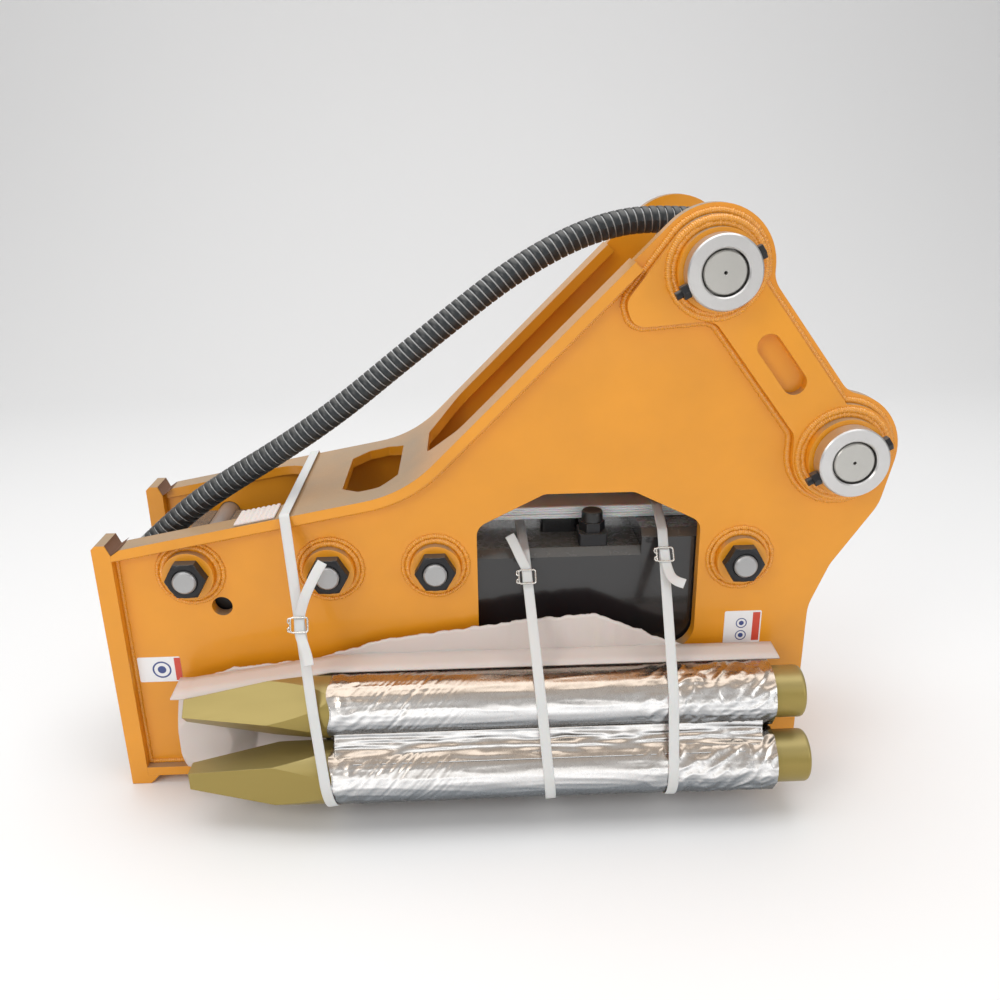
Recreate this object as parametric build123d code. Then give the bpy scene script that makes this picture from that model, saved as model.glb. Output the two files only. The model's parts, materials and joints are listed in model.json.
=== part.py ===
from build123d import *
from math import asin, cos, degrees, hypot, radians, sin, tan
import os

# Side-type hydraulic breaker in its welded housing, laid on its feet for transport, with two
# spare chisels strapped to its near side. Millimetres, +Z up. The origin is on the tool axis at
# the mouth of the tool bore, +X runs back to the pin bracket and -Y is the near side.
# Housing sizes are measured from the front edge (x) and from the foot (z).

# ---- Housing ----
MOUTH_SETBACK = 40.0        # front edge of the housing to the mouth of the tool bore
AXIS_HEIGHT = 237.5         # foot to tool axis
HOUSING_LENGTH = 1114.0     # front edge to the straight rear edge
HOUSING_WIDTH = 316.0       # outside the bars, rails and bosses
PLATE = 20.0                # side plate thickness
PLATE_RECESS = 16.0         # outside of the bars to the outside of a side plate
TOP_PLATE = 16.0
TOP_FRONT_HEIGHT = 420.0    # foot to the top plate at the front bar
TOP_SLOPE = 10.3            # degrees, front part of the top plate
HEAD_SLOPE = 44.6           # degrees, rear part of the top plate
TOP_BEND = 200.0            # bend radius of the top surface
TOP_GROOVE = (14.0, 7.0)    # length and depth of the weld preparation at the front bar
BAR_LENGTH = 28.0
BAR_DEPTH = 52.0            # bars, rails and feet, inwards from the outside
BAR_RISE = 10.0             # front bar above the top plate
BAR_TOE = 46.0              # front edge to the end of the bar's toe under the rail
BAR_CHAMFER = 6.0
RAIL = 16.0
FOOT_CLEAR = 15.0           # floor to the underside of the rails
FOOT_LENGTH = 28.0
FOOT_INSET = 6.0            # rear foot to the straight rear edge
HEEL_RADIUS = 70.0
HEEL_HIGH = (73.0, -89.0)    # both from the lower pin
HEEL_LOW = (28.0, -189.0)    # from the straight rear edge and the lower pin
HEEL_FOOT = -262.0          # lower pin to the foot of the heel, on the rear edge

# ---- Pin bracket ----
UPPER_PIN_X = HOUSING_LENGTH - 188.0
UPPER_PIN_Z = 822.0
LOWER_PIN_X = HOUSING_LENGTH + 21.0
LOWER_PIN_Z = 547.0
UPPER_EAR = 88.0
LOWER_EAR = 90.0
NECK_OUT = 58.0             # pin line to the edge between the ears
NECK_FILLET = 40.0
STRIP_STOP = 73.0           # end of the top plate before the ear's tangent point
DOUBLER_RIM = 14.0          # ear edge to doubler edge
DOUBLER_IN = 42.0           # pin line to the doubler's inner edge
LOBE_FILLET = 24.0
LOBE_TOP = 143.0            # degrees round the upper pin to the lobe's start
LOBE_LEFT = (-126.0, -44.0)     # from the upper pin
LOBE_LOW = (-114.0, -81.0)
LOBE_UNDER = -72.0          # underside of the lobe, below the upper pin
HEEL_TANGENT = 9.6          # degrees round the lower pin to the heel's straight edge
PLUG_SLOT = (104.0, 36.0)
PIN_RADIUS = 30.0
PIN_END = 2.0               # collar face to pin end
RUNNING_GAP = 0.05          # radial
BUSHING_WALL = 10.0
BOSS_RADIUS = 58.0
BOSS_PROUD = 18.0
COLLAR_RADIUS = 52.0
COLLAR_WIDTH = 28.0
COLLAR_BORE_GAP = 2.5       # radial, collar to pin
COLLAR_CLEAR = 2.0          # collar to boss
COLLAR_CHAMFER = 2.0
CENTRE_HOLE = (2.5, 6.0)    # radius and depth in each pin end
LOCK_ANGLE = 27.0           # degrees of the lock bolt above the horizontal
LOCK_RADIUS = 6.0
LOCK_GAP = 0.2
LOCK_HEAD = (19.0, 8.0)     # across flats and height
LOCK_NUT = (19.0, 10.0)
LOCK_TAIL = 9.0             # bolt end beyond the nut

# ---- Openings of the housing ----
WINDOW_FRONT = 583.0
WINDOW_REAR = HOUSING_LENGTH - 183.0
WINDOW_LOW = 215.0
WINDOW_SHOULDER = 437.0
WINDOW_TOP = 489.0
WINDOW_CUT = 105.0          # length of the sloping top corners
WINDOW_RADIUS = (40.0, 24.0)
ACCESS_HOLE = (181.0, 316.0, 16.0)
NOTCH_END = 300.0
NOTCH_STRIP = 40.0          # top plate left on each side of the front notch
NOTCH_RADIUS = 70.0
HATCH = (373.0, 462.0, 28.0)    # start, end and corner cut of the hatch in the top plate
HATCH_FILLET = 8.0
STRIP = 52.0                # top plate left on each side of the hatch and the slot
SLOT_START = 508.0
SLOT_NOSE = (55.0, 52.0)    # half width of the slot's blunt start and length of its widening
SLOT_FILLETS = (14.0, 30.0)

# ---- Inner plates ----
INNER_PLATE = 16.0
UPPER_CROSS_DEPTH = 50.0
UPPER_CROSS = (183.0, 105.0)    # start and end, before the ear's tangent point
LOWER_CROSS_DEPTH = 84.0
LOWER_CROSS = (455.0, 170.0)
THROAT_IN = 118.0           # pin line to the plate that closes the bracket's throat
BACK_PLATE_TOP = 330.0
BACK_PLATE_INSET = 4.0

# ---- Side bolts ----
BOLT_X = (139.0, 354.0, 518.0, HOUSING_LENGTH - 118.0)
BOLT_OFFSET = 137.5         # tool axis to a row of bolts
BOLT_RADIUS = 18.0
BOLT_GAP = 1.0
BOLT_TAIL = 6.0
BOLT_CHAMFER = 2.5
NUT_FLATS = 55.0
NUT_HEIGHT = 18.0
BOLT_BOSS = 39.0

# ---- Power cell ----
BUFFER = 6.0                # pad between the power cell and a side plate
CELL_HALF_HEIGHT = 146.5
CELL_EDGE = 12.0
HEAD_LENGTH = 350.0
HEAD_BEVEL = 55.0
CYLINDER_END = WINDOW_REAR - 86.0 - MOUTH_SETBACK
BACK_HEAD_END = HOUSING_LENGTH - 69.0 - MOUTH_SETBACK
BACK_HEAD_RISE = 30.0       # back head above the cylinder
TOOL_RADIUS = 47.5
TOOL_CLEAR = 0.4            # radial, tool to bushing
TOOL_FLAT = 11.0            # depth of the flats that the retaining pins run in
HEAD_BORE = 53.0
OUTER_BUSHING = (68.0, 90.0)    # outer radius and length
INNER_BUSHING = (66.0, 200.0, 330.0)
THRUST_BORE = 46.2
RETAINER_RADIUS = 25.0
RETAINER_X = ACCESS_HOLE[0] - MOUTH_SETBACK
RETAINER_PLUG = 20.0
GUIDE_RADIUS = 45.0         # piston in the front guide
LAND_RADIUS = 52.0
TAIL_RADIUS = 42.0
PISTON_START = HEAD_LENGTH + 22.0
CHAMBER = (HEAD_LENGTH + 150.0, CYLINDER_END - 60.0)
LAND = (CHAMBER[0] + 5.0, CHAMBER[0] + 165.0)
PISTON_END = CYLINDER_END + 95.0
RETAINER_SEAT = 62.0
GAS_CHAMBER = 56.0
GAS_CHAMBER_END = PISTON_END + 90.0
SEAL = (5.0, 6.0)           # depth and width of a piston seal
FRONT_SEALS = (HEAD_LENGTH + 30.0, HEAD_LENGTH + 52.0)
REAR_SEALS = (CYLINDER_END - 42.0, CYLINDER_END - 24.0)
TIE_Y = 90.0
TIE_Z = 100.0
TIE_RADIUS = 16.0
TIE_START = 232.0
TIE_NUT = (46.0, 24.0)
TIE_TAIL = 5.0
VALVE_HEIGHT = 98.0
VALVE_RADIUS = 15.0
VALVE_START = CYLINDER_END - 215.0
SPOOL = (CYLINDER_END - 190.0, CYLINDER_END - 80.0)
VALVE_PLUG = 35.0
VALVE_COVER = (CYLINDER_END - 155.0, CYLINDER_END - 90.0, 40.0)
PORT_X = CYLINDER_END - 75.0
PORT_Y = 80.0
PORT_FLANGE = (46.0, 20.0)
PORT_HEX = (36.0, 16.0)
PORT_CAP = (17.0, 18.0)
PORT_BORE = 9.0
GAS_VALVE = (12.0, 18.0, 125.0)
SMALL_CHAMFER = 2.0
COVER_EDGES = (8.0, 3.0)    # fillet of the valve cover's corners and chamfer of its top
PORT_FILLETS = (5.0, 4.0)   # flange corners and cap
SPOOL_GROOVE = 4.0          # depth
SPOOL_GROOVES = 3
NIPPLE = (232.0, 6.0, 12.0)
REAR_BUFFER = (50.0, 60.0)
FRONT_PAD = (40.0, 30.0)    # retaining pins to a front side pad, and the pad to the head's end
REAR_PAD = (95.0, 5.0)      # start and end of a rear side pad, before the back head's end
PAD_FILLET = 10.0

# ---- Load for transport ----
CHISEL_LENGTH = 20 * TOOL_RADIUS
LOWER_CHISEL = (88.0, 104.0, 1086.0)    # axis above the foot, axis from the outside face, butt
UPPER_CHISEL = (184.0, 72.0, 1080.0)
CHISEL_TURNS = (0.0, 45.0)
CHISEL_TAPER = 0.15         # rise of a facet per length
CHISEL_TIP = 14.0           # half width of the blunt tip
CHISEL_KEYWAY = (740.0, 860.0)  # retaining flat, from the tip
BUTT = (7.5, 56.0)          # cut in radius and length of the struck end
BUTT_FILLET = 6.0
BUTT_STEP = 3.0             # chamfer of the step in front of it
WRAP = (0.4, 1.2)           # gap under the foil wrap and its thickness
WRAP_SPAN = (354.0, 1030.0)
SHEET = 5.0
SHEET_GAP = 1.5
FOAM_PATH = [(100, 188), (193, 217), (322, 228), (431, 259), (583, 277), (654, 287), (768, 294),
             (842, 261), (878, 243), (929, 229), (1049, 228), (1055, 40), (112, 40)]
SHEET_NUT_CLEAR = 44.0
PAD = (215.0, 280.0, 4.0)   # foam pad beside the front strap
PAD_ACROSS = (2.0, 60.0)    # near outside face to the pad's edges
BUNDLE = (575.0, 952.0, 60.0, 22.0)
BUNDLE_LIFT = 0.6
BUNDLE_FILLET = 6.0
STRAP_WIDTH = 16.0
STRAP = 1.2
STRAP_SLACK = 1.5
STRAP_BEND = 2.5
FRONT_STRAP = (295.0, 8.0, 165.0)   # x at the top, degrees of lean, buckle down the near run
MIDDLE_STRAP = (658.0, 4.7, 45.0)
REAR_STRAP = (877.0, -1.2, 42.0)
STRAP_OVER_BOLTS = 50.0     # bolt row to where the front strap bends over the far bolt ends
BUCKLE = (32.0, 30.0, 3.5)

# ---- Hoses, from the origin ----
HOSE_RADIUS = 20.0
OVER_PIN = UPPER_PIN_Z - AXIS_HEIGHT + PIN_RADIUS
SUPPLY_ROUTE = [(22, -60, 157.5), (80, -56, 208.5), (150, -51, 253.5), (245, -45, 307.5),
                (340, -38, 369.5), (428, -32, 437.5), (516, -25, 503.5), (600, -18, 564.5),
                (688, -12, 612.5), (760, -7, OVER_PIN + 22),
                (825, -3, OVER_PIN + 29), (888, 0, OVER_PIN + 24)]
RETURN_RADIUS = 15.0
RETURN_ROUTE = [(560, -8, 218.5), (632, -3, 217.6), (712, 2, 218.4), (790, 3, 217.6), (862, -2, 218.3)]
FITTING = (22.0, 34.0, 14.0)    # ferrule length, hexagon across flats and its length
FITTING_CAP = 16.0
CAP_SHARE = 0.8             # dust cap to hose radius
BEND_SHARE = 0.45           # part of a run that one bend may use up

DECALS = [(35.0, 184.0, 68.0, 45.0), (980.0, 221.0, 60.0, 59.0)]    # left, bottom, length, height
DECAL = 0.5
DECAL_FILLET = 3.0

HALF = HOUSING_WIDTH / 2
PLATE_OUT = HALF - PLATE_RECESS
PLATE_IN = PLATE_OUT - PLATE
RAIL_TOP = FOOT_CLEAR + RAIL
CELL_HALF_WIDTH = PLATE_IN - BUFFER
BOSS_FACE = HALF + BOSS_PROUD
COLLAR_FACE = BOSS_FACE + COLLAR_CLEAR + COLLAR_WIDTH
BUSHING_RADIUS = PIN_RADIUS + RUNNING_GAP + BUSHING_WALL
BOLT_HOLE = BOLT_RADIUS + BOLT_GAP
UNDER = Vector(-HALF, FOOT_CLEAR - STRAP_SLACK)     # near lower edge of a strap's loop
CHISEL_AXES = [Vector(-HALF - out, height) for height, out, butt in (LOWER_CHISEL, UPPER_CHISEL)]
HOUSING = Pos(-MOUTH_SETBACK, 0, -AXIS_HEIGHT)

UPPER_PIN = Vector(UPPER_PIN_X, UPPER_PIN_Z)
LOWER_PIN = Vector(LOWER_PIN_X, LOWER_PIN_Z)
PIN_LINE = (LOWER_PIN - UPPER_PIN).normalized()
PIN_OUT = Vector(-PIN_LINE.Y, PIN_LINE.X)       # from the pin line to the open side
HEAD_RUN = Vector(cos(radians(HEAD_SLOPE)), sin(radians(HEAD_SLOPE)))
HEAD_OUT = Vector(-HEAD_RUN.Y, HEAD_RUN.X)
EAR_TANGENT = UPPER_PIN + HEAD_OUT * UPPER_EAR
STRIP_END = EAR_TANGENT - HEAD_RUN * STRIP_STOP

nodes = {}


def keep(name, *solids):
    """Register the separate solids of one node."""
    nodes[name] = list(solids)


def slab(sketch, low_y, high_y, place=HOUSING):
    """Side-view sketch, extruded across the housing between two Y values."""
    return place * extrude(Plane.XZ.offset(-high_y) * sketch, amount=high_y - low_y)


def both_sides(solid):
    return [solid, mirror(solid, about=Plane.XZ)]


def rod(x, z, radius, low_y, high_y, place=HOUSING):
    return slab(Pos(x, z) * Circle(radius), low_y, high_y, place)


def axial(sketch, start, end):
    """Cross-section about the tool axis, extruded between two X values."""
    return extrude(Plane.YZ.offset(start) * sketch, amount=end - start)


def bore(radius, start, end, y=0.0, z=0.0):
    return axial(Pos(y, z) * Circle(radius), start, end)


def ring(outer, inner, start, end):
    return axial(Circle(outer) - Circle(inner), start, end)


def hexagon(flats):
    return RegularPolygon(flats / 2, 6, major_radius=False)


def upright(sketch, low_z, high_z):
    return extrude(Plane.XY.offset(low_z) * sketch, amount=high_z - low_z)


def round_corner(sketch, point, radius):
    """Fillet the corner of a sketch that is nearest to a point."""
    near = sorted(sketch.vertices(), key=lambda v: hypot(v.X - point.X, v.Y - point.Y))
    return fillet(near[0], radius)


def meet(p, p_run, q, q_run):
    """Crossing of two lines, each given by a point and a direction."""
    across = Vector(-q_run.Y, q_run.X)
    return p + p_run * ((q - p).dot(across) / p_run.dot(across))


def top_line(depth, front_x=BAR_LENGTH):
    """Line at a depth under the bent top surface, from the front bar to the end of the plate."""
    slope = Vector(cos(radians(TOP_SLOPE)), sin(radians(TOP_SLOPE)))
    start = Vector(BAR_LENGTH, TOP_FRONT_HEIGHT - depth / slope.X)
    front = start + slope * ((front_x - BAR_LENGTH) / slope.X)
    rear = STRIP_END - HEAD_OUT * depth
    bend = meet(front, slope, rear, HEAD_RUN)
    return FilletPolyline(front, bend, rear, radius=TOP_BEND + depth)


def on_neck(pin, ear):
    """Crossing of an ear's circle with the edge between the ears, on the side of the other pin."""
    along = (ear ** 2 - NECK_OUT ** 2) ** 0.5
    toward = 1 if pin.Y > LOWER_PIN_Z else -1
    return pin + PIN_OUT * NECK_OUT + PIN_LINE * (along * toward)


def plate_outline():
    edge = top_line(TOP_PLATE)
    heel_high = LOWER_PIN + Vector(*HEEL_HIGH)
    heel_low = Vector(HOUSING_LENGTH + HEEL_LOW[0], LOWER_PIN_Z + HEEL_LOW[1])
    heel_foot = Vector(HOUSING_LENGTH, LOWER_PIN_Z + HEEL_FOOT)
    ear_end = Vector(cos(radians(HEEL_TANGENT)), -sin(radians(HEEL_TANGENT))) * LOWER_EAR
    rest = Polyline(edge @ 1, STRIP_END, EAR_TANGENT, UPPER_PIN, UPPER_PIN + PIN_OUT * NECK_OUT,
                    LOWER_PIN + PIN_OUT * NECK_OUT, LOWER_PIN,
                    LOWER_PIN + ear_end, heel_high, heel_low, heel_foot,
                    (HOUSING_LENGTH, RAIL_TOP), (BAR_LENGTH, RAIL_TOP), edge @ 0)
    outline = make_face([*edge.edges(), *rest.edges()])
    outline += Pos(UPPER_PIN_X, UPPER_PIN_Z) * Circle(UPPER_EAR)
    outline += Pos(LOWER_PIN_X, LOWER_PIN_Z) * Circle(LOWER_EAR)
    for corner in (heel_high, heel_low, heel_foot):
        outline = round_corner(outline, corner, HEEL_RADIUS)
    for corner in (on_neck(UPPER_PIN, UPPER_EAR), on_neck(LOWER_PIN, LOWER_EAR)):
        outline = round_corner(outline, corner, NECK_FILLET)
    return outline


def window():
    low, high = WINDOW_RADIUS
    path = FilletPolyline((WINDOW_FRONT, WINDOW_LOW), (WINDOW_FRONT, WINDOW_SHOULDER),
                          (WINDOW_FRONT + WINDOW_CUT, WINDOW_TOP), (WINDOW_REAR - WINDOW_CUT, WINDOW_TOP),
                          (WINDOW_REAR, WINDOW_SHOULDER), (WINDOW_REAR, WINDOW_LOW),
                          radius=[low, high, high, high, high, low], close=True)
    return make_face(path)


def bolt_places():
    return [(x, AXIS_HEIGHT + side * BOLT_OFFSET) for x in BOLT_X for side in (1, -1)]


def build_side_plates():
    outline = plate_outline() - window()
    outline -= Pos(ACCESS_HOLE[0], ACCESS_HOLE[1]) * Circle(ACCESS_HOLE[2])
    outline -= [Pos(x, z) * Circle(BOLT_HOLE) for x, z in bolt_places()]
    outline -= [Pos(pin.X, pin.Y) * Circle(BUSHING_RADIUS) for pin in (UPPER_PIN, LOWER_PIN)]
    far = slab(outline, PLATE_IN, PLATE_OUT)
    keep("far_side_plate", far)
    keep("near_side_plate", mirror(far, about=Plane.XZ))


def build_head_doublers():
    upper = UPPER_EAR - DOUBLER_RIM
    lower = LOWER_EAR - DOUBLER_RIM
    lobe_top = UPPER_PIN + Vector(cos(radians(LOBE_TOP)), sin(radians(LOBE_TOP))) * upper
    lobe_left = UPPER_PIN + Vector(*LOBE_LEFT)
    lobe_low = UPPER_PIN + Vector(*LOBE_LOW)
    inner_start = UPPER_PIN - PIN_OUT * DOUBLER_IN
    inner_high = meet(inner_start, PIN_LINE, UPPER_PIN + Vector(0, LOBE_UNDER), Vector(1, 0))
    inner_low = meet(inner_start, PIN_LINE, LOWER_PIN + Vector(-lower, 0), Vector(0, 1))
    neck = PIN_OUT * (NECK_OUT - DOUBLER_RIM)
    outline = make_face(Polyline(lobe_top, lobe_left, lobe_low, inner_high, inner_low,
                                 LOWER_PIN + Vector(-lower, 0), LOWER_PIN, LOWER_PIN + neck,
                                 UPPER_PIN + neck, UPPER_PIN, close=True))
    outline += Pos(UPPER_PIN_X, UPPER_PIN_Z) * Circle(upper)
    outline += Pos(LOWER_PIN_X, LOWER_PIN_Z) * Circle(lower)
    for corner in (lobe_left, lobe_low, inner_high, inner_low):
        outline = round_corner(outline, corner, LOBE_FILLET)
    slot_turn = Rot(0, 0, degrees(asin(PIN_LINE.Y)))
    middle = (UPPER_PIN + LOWER_PIN) * 0.5
    outline -= Pos(middle.X, middle.Y) * slot_turn * SlotOverall(*PLUG_SLOT)
    outline -= [Pos(pin.X, pin.Y) * Circle(BUSHING_RADIUS) for pin in (UPPER_PIN, LOWER_PIN)]
    far = slab(outline, PLATE_OUT, HALF)
    keep("far_head_doubler", far)
    keep("near_head_doubler", mirror(far, about=Plane.XZ))


def build_bars():
    top = TOP_FRONT_HEIGHT + BAR_RISE
    groove_length, groove_depth = TOP_GROOVE
    bar = make_face(Polyline((0, 0), (BAR_TOE - FOOT_CLEAR, 0), (BAR_TOE, FOOT_CLEAR),
                             (BAR_LENGTH, FOOT_CLEAR), (BAR_LENGTH, TOP_FRONT_HEIGHT - groove_depth),
                             (BAR_LENGTH - groove_depth, top), (BAR_CHAMFER, top),
                             (0, top - BAR_CHAMFER), close=True))
    far = slab(bar, HALF - BAR_DEPTH, HALF)
    keep("far_front_bar", far)
    keep("near_front_bar", mirror(far, about=Plane.XZ))
    rail = make_face(Polyline((BAR_LENGTH, FOOT_CLEAR), (HOUSING_LENGTH, FOOT_CLEAR),
                              (HOUSING_LENGTH, RAIL_TOP), (BAR_LENGTH, RAIL_TOP), close=True))
    far = slab(rail, HALF - BAR_DEPTH, HALF)
    keep("far_bottom_rail", far)
    keep("near_bottom_rail", mirror(far, about=Plane.XZ))
    foot_x = HOUSING_LENGTH - FOOT_INSET - FOOT_LENGTH / 2
    foot = slab(Pos(foot_x, FOOT_CLEAR / 2) * Rectangle(FOOT_LENGTH, FOOT_CLEAR), HALF - BAR_DEPTH, HALF)
    keep("rear_feet", *both_sides(foot))


def build_top_plate():
    groove_length, groove_depth = TOP_GROOVE
    upper = top_line(0, BAR_LENGTH + groove_length)
    lower = top_line(TOP_PLATE)
    rest = Polyline(upper @ 1, lower @ 1)
    start = Polyline(lower @ 0, (BAR_LENGTH, TOP_FRONT_HEIGHT - groove_depth), upper @ 0)
    profile = make_face([*upper.edges(), *rest.edges(), *lower.edges(), *start.edges()])
    plate = slab(profile, -HALF, HALF)
    sky = UPPER_PIN_Z + AXIS_HEIGHT
    half_notch = HALF - NOTCH_STRIP
    notch = Pos(NOTCH_END / 2, 0) * Rectangle(NOTCH_END, 2 * half_notch)
    for side in (1, -1):
        notch = round_corner(notch, Vector(NOTCH_END, side * half_notch), NOTCH_RADIUS)
    hatch_start, hatch_end, cut = HATCH
    half_hatch = HALF - STRIP
    hatch = Pos((hatch_start + hatch_end) / 2, 0) * Rectangle(hatch_end - hatch_start, 2 * half_hatch)
    hatch = chamfer(hatch.vertices(), cut)
    hatch = fillet(hatch.vertices(), HATCH_FILLET)
    nose_half, nose_length = SLOT_NOSE
    slot_end = UPPER_PIN_X
    slot = make_face(Polyline((SLOT_START, -nose_half), (SLOT_START + nose_length, -half_hatch),
                              (slot_end, -half_hatch), (slot_end, half_hatch),
                              (SLOT_START + nose_length, half_hatch), (SLOT_START, nose_half), close=True))
    for side in (1, -1):
        slot = round_corner(slot, Vector(SLOT_START, side * nose_half), SLOT_FILLETS[0])
        slot = round_corner(slot, Vector(SLOT_START + nose_length, side * half_hatch), SLOT_FILLETS[1])
    for opening in (notch, hatch, slot):
        plate -= Pos(-MOUTH_SETBACK, 0, 0) * upright(opening, 0, sky)
    keep("top_plate", plate)


def sloping_plate(depth, span):
    """Side view of a cross plate that lies parallel to the rear part of the top plate."""
    start, end = (EAR_TANGENT - HEAD_OUT * depth - HEAD_RUN * before for before in span)
    under = HEAD_OUT * -INNER_PLATE
    return make_face(Polyline(start, end, end + under, start + under, close=True))


def build_inner_plates():
    upper_cross = sloping_plate(UPPER_CROSS_DEPTH, UPPER_CROSS)
    back_x = HOUSING_LENGTH - BACK_PLATE_INSET - INNER_PLATE / 2
    back = Pos(back_x, (RAIL_TOP + BACK_PLATE_TOP) / 2) * Rectangle(INNER_PLATE, BACK_PLATE_TOP - RAIL_TOP)
    high = UPPER_PIN - PIN_OUT * THROAT_IN
    low = LOWER_PIN - PIN_OUT * THROAT_IN
    bent = Polyline(high, low, (back_x, BACK_PLATE_TOP + INNER_PLATE))
    throat = make_face(offset(bent, amount=INNER_PLATE / 2, side=Side.BOTH).edges())
    keep("upper_cross_plate", slab(upper_cross, -PLATE_IN, PLATE_IN))
    keep("lower_cross_plate", slab(sloping_plate(LOWER_CROSS_DEPTH, LOWER_CROSS), -PLATE_IN, PLATE_IN))
    keep("back_plate", slab(back, -PLATE_IN, PLATE_IN))
    keep("throat_plate", slab(throat - upper_cross - back, -PLATE_IN, PLATE_IN))


def build_side_bolts():
    nut = hexagon(NUT_FLATS)
    bosses = []
    bolts = []
    nuts = []
    tail = HALF + NUT_HEIGHT + BOLT_TAIL
    for x, z in bolt_places():
        boss = Pos(x, z) * (Circle(BOLT_BOSS) - Circle(BOLT_HOLE))
        bosses += both_sides(slab(boss, PLATE_OUT, HALF))
        bolt = rod(x, z, BOLT_RADIUS, -tail, tail)
        bolts.append(chamfer(bolt.edges().filter_by(GeomType.CIRCLE), BOLT_CHAMFER))
        blank = slab(Pos(x, z) * nut, HALF, HALF + NUT_HEIGHT)
        nuts += both_sides(blank - rod(x, z, BOLT_RADIUS, HALF, HALF + NUT_HEIGHT))
    keep("bolt_bosses", *bosses)
    keep("side_bolts", *bolts)
    keep("side_nuts", *nuts)


def build_pin_seats():
    bosses = []
    bushings = []
    for pin in (UPPER_PIN, LOWER_PIN):
        boss = Pos(pin.X, pin.Y) * (Circle(BOSS_RADIUS) - Circle(BUSHING_RADIUS))
        bosses += both_sides(slab(boss, HALF, BOSS_FACE))
        bushing = Pos(pin.X, pin.Y) * (Circle(BUSHING_RADIUS) - Circle(PIN_RADIUS + RUNNING_GAP))
        bushings += both_sides(slab(bushing, PLATE_IN, BOSS_FACE))
    keep("pin_bosses", *bosses)
    keep("pin_bushings", *bushings)


def build_pin_set(prefix, pin):
    """One bracket pin with a collar and a lock bolt at each end, all turning together."""
    centre = Pos(pin.X, 0, pin.Y)
    collar_y = COLLAR_FACE - COLLAR_WIDTH / 2
    turn = HOUSING * centre * Rot(0, -LOCK_ANGLE, 0)
    body = rod(pin.X, pin.Y, PIN_RADIUS, PIN_END - COLLAR_FACE, COLLAR_FACE - PIN_END)
    body = chamfer(body.edges().filter_by(GeomType.CIRCLE), COLLAR_CHAMFER)
    hole_radius, hole_depth = CENTRE_HOLE
    end = COLLAR_FACE - PIN_END
    ring_sketch = Pos(pin.X, pin.Y) * (Circle(COLLAR_RADIUS) - Circle(PIN_RADIUS + COLLAR_BORE_GAP))
    collars = []
    bolts = []
    nuts = []
    for side in (1, -1):
        low, high = sorted((side * (COLLAR_FACE - COLLAR_WIDTH), side * COLLAR_FACE))
        collar = slab(ring_sketch, low, high)
        collar = chamfer(collar.edges().filter_by(GeomType.CIRCLE), COLLAR_CHAMFER)
        drill = turn * Pos(0, side * collar_y, 0) * Rot(0, 90, 0) * Cylinder(LOCK_RADIUS + LOCK_GAP,
                                                                          3 * COLLAR_RADIUS)
        low, high = sorted((side * (end - hole_depth), side * end))
        body -= [drill, rod(pin.X, pin.Y, hole_radius, low, high)]
        collars.append(collar - drill)
        bolts.append(turn * Pos(0, side * collar_y, 0) * lock_bolt())
        nuts.append(turn * Pos(0, side * collar_y, 0) * lock_nut())
    keep(prefix + "_pin", body)
    keep(prefix + "_pin_collars", *collars)
    keep(prefix + "_lock_bolts", *bolts)
    keep(prefix + "_lock_nuts", *nuts)


def lock_bolt():
    """Bolt along X through a collar, head at +X."""
    flats, head = LOCK_HEAD
    shank_end = -COLLAR_RADIUS - LOCK_NUT[1] - LOCK_TAIL
    shank = bore(LOCK_RADIUS, shank_end, COLLAR_RADIUS)
    return shank + axial(hexagon(flats), COLLAR_RADIUS, COLLAR_RADIUS + head)


def lock_nut():
    flats, height = LOCK_NUT
    return axial(hexagon(flats) - Circle(LOCK_RADIUS), -COLLAR_RADIUS - height, -COLLAR_RADIUS)


def cell_section(height_above=0.0):
    height = 2 * CELL_HALF_HEIGHT + height_above
    section = Pos(0, height_above / 2) * Rectangle(2 * CELL_HALF_WIDTH, height)
    return chamfer(section.vertices(), CELL_EDGE)


def bolt_grooves():
    return [rod(x, z, BOLT_HOLE, -PLATE_IN, PLATE_IN) for x, z in bolt_places()]


def tie_places():
    return [(y, z) for y in (TIE_Y, -TIE_Y) for z in (TIE_Z, -TIE_Z)]


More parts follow.
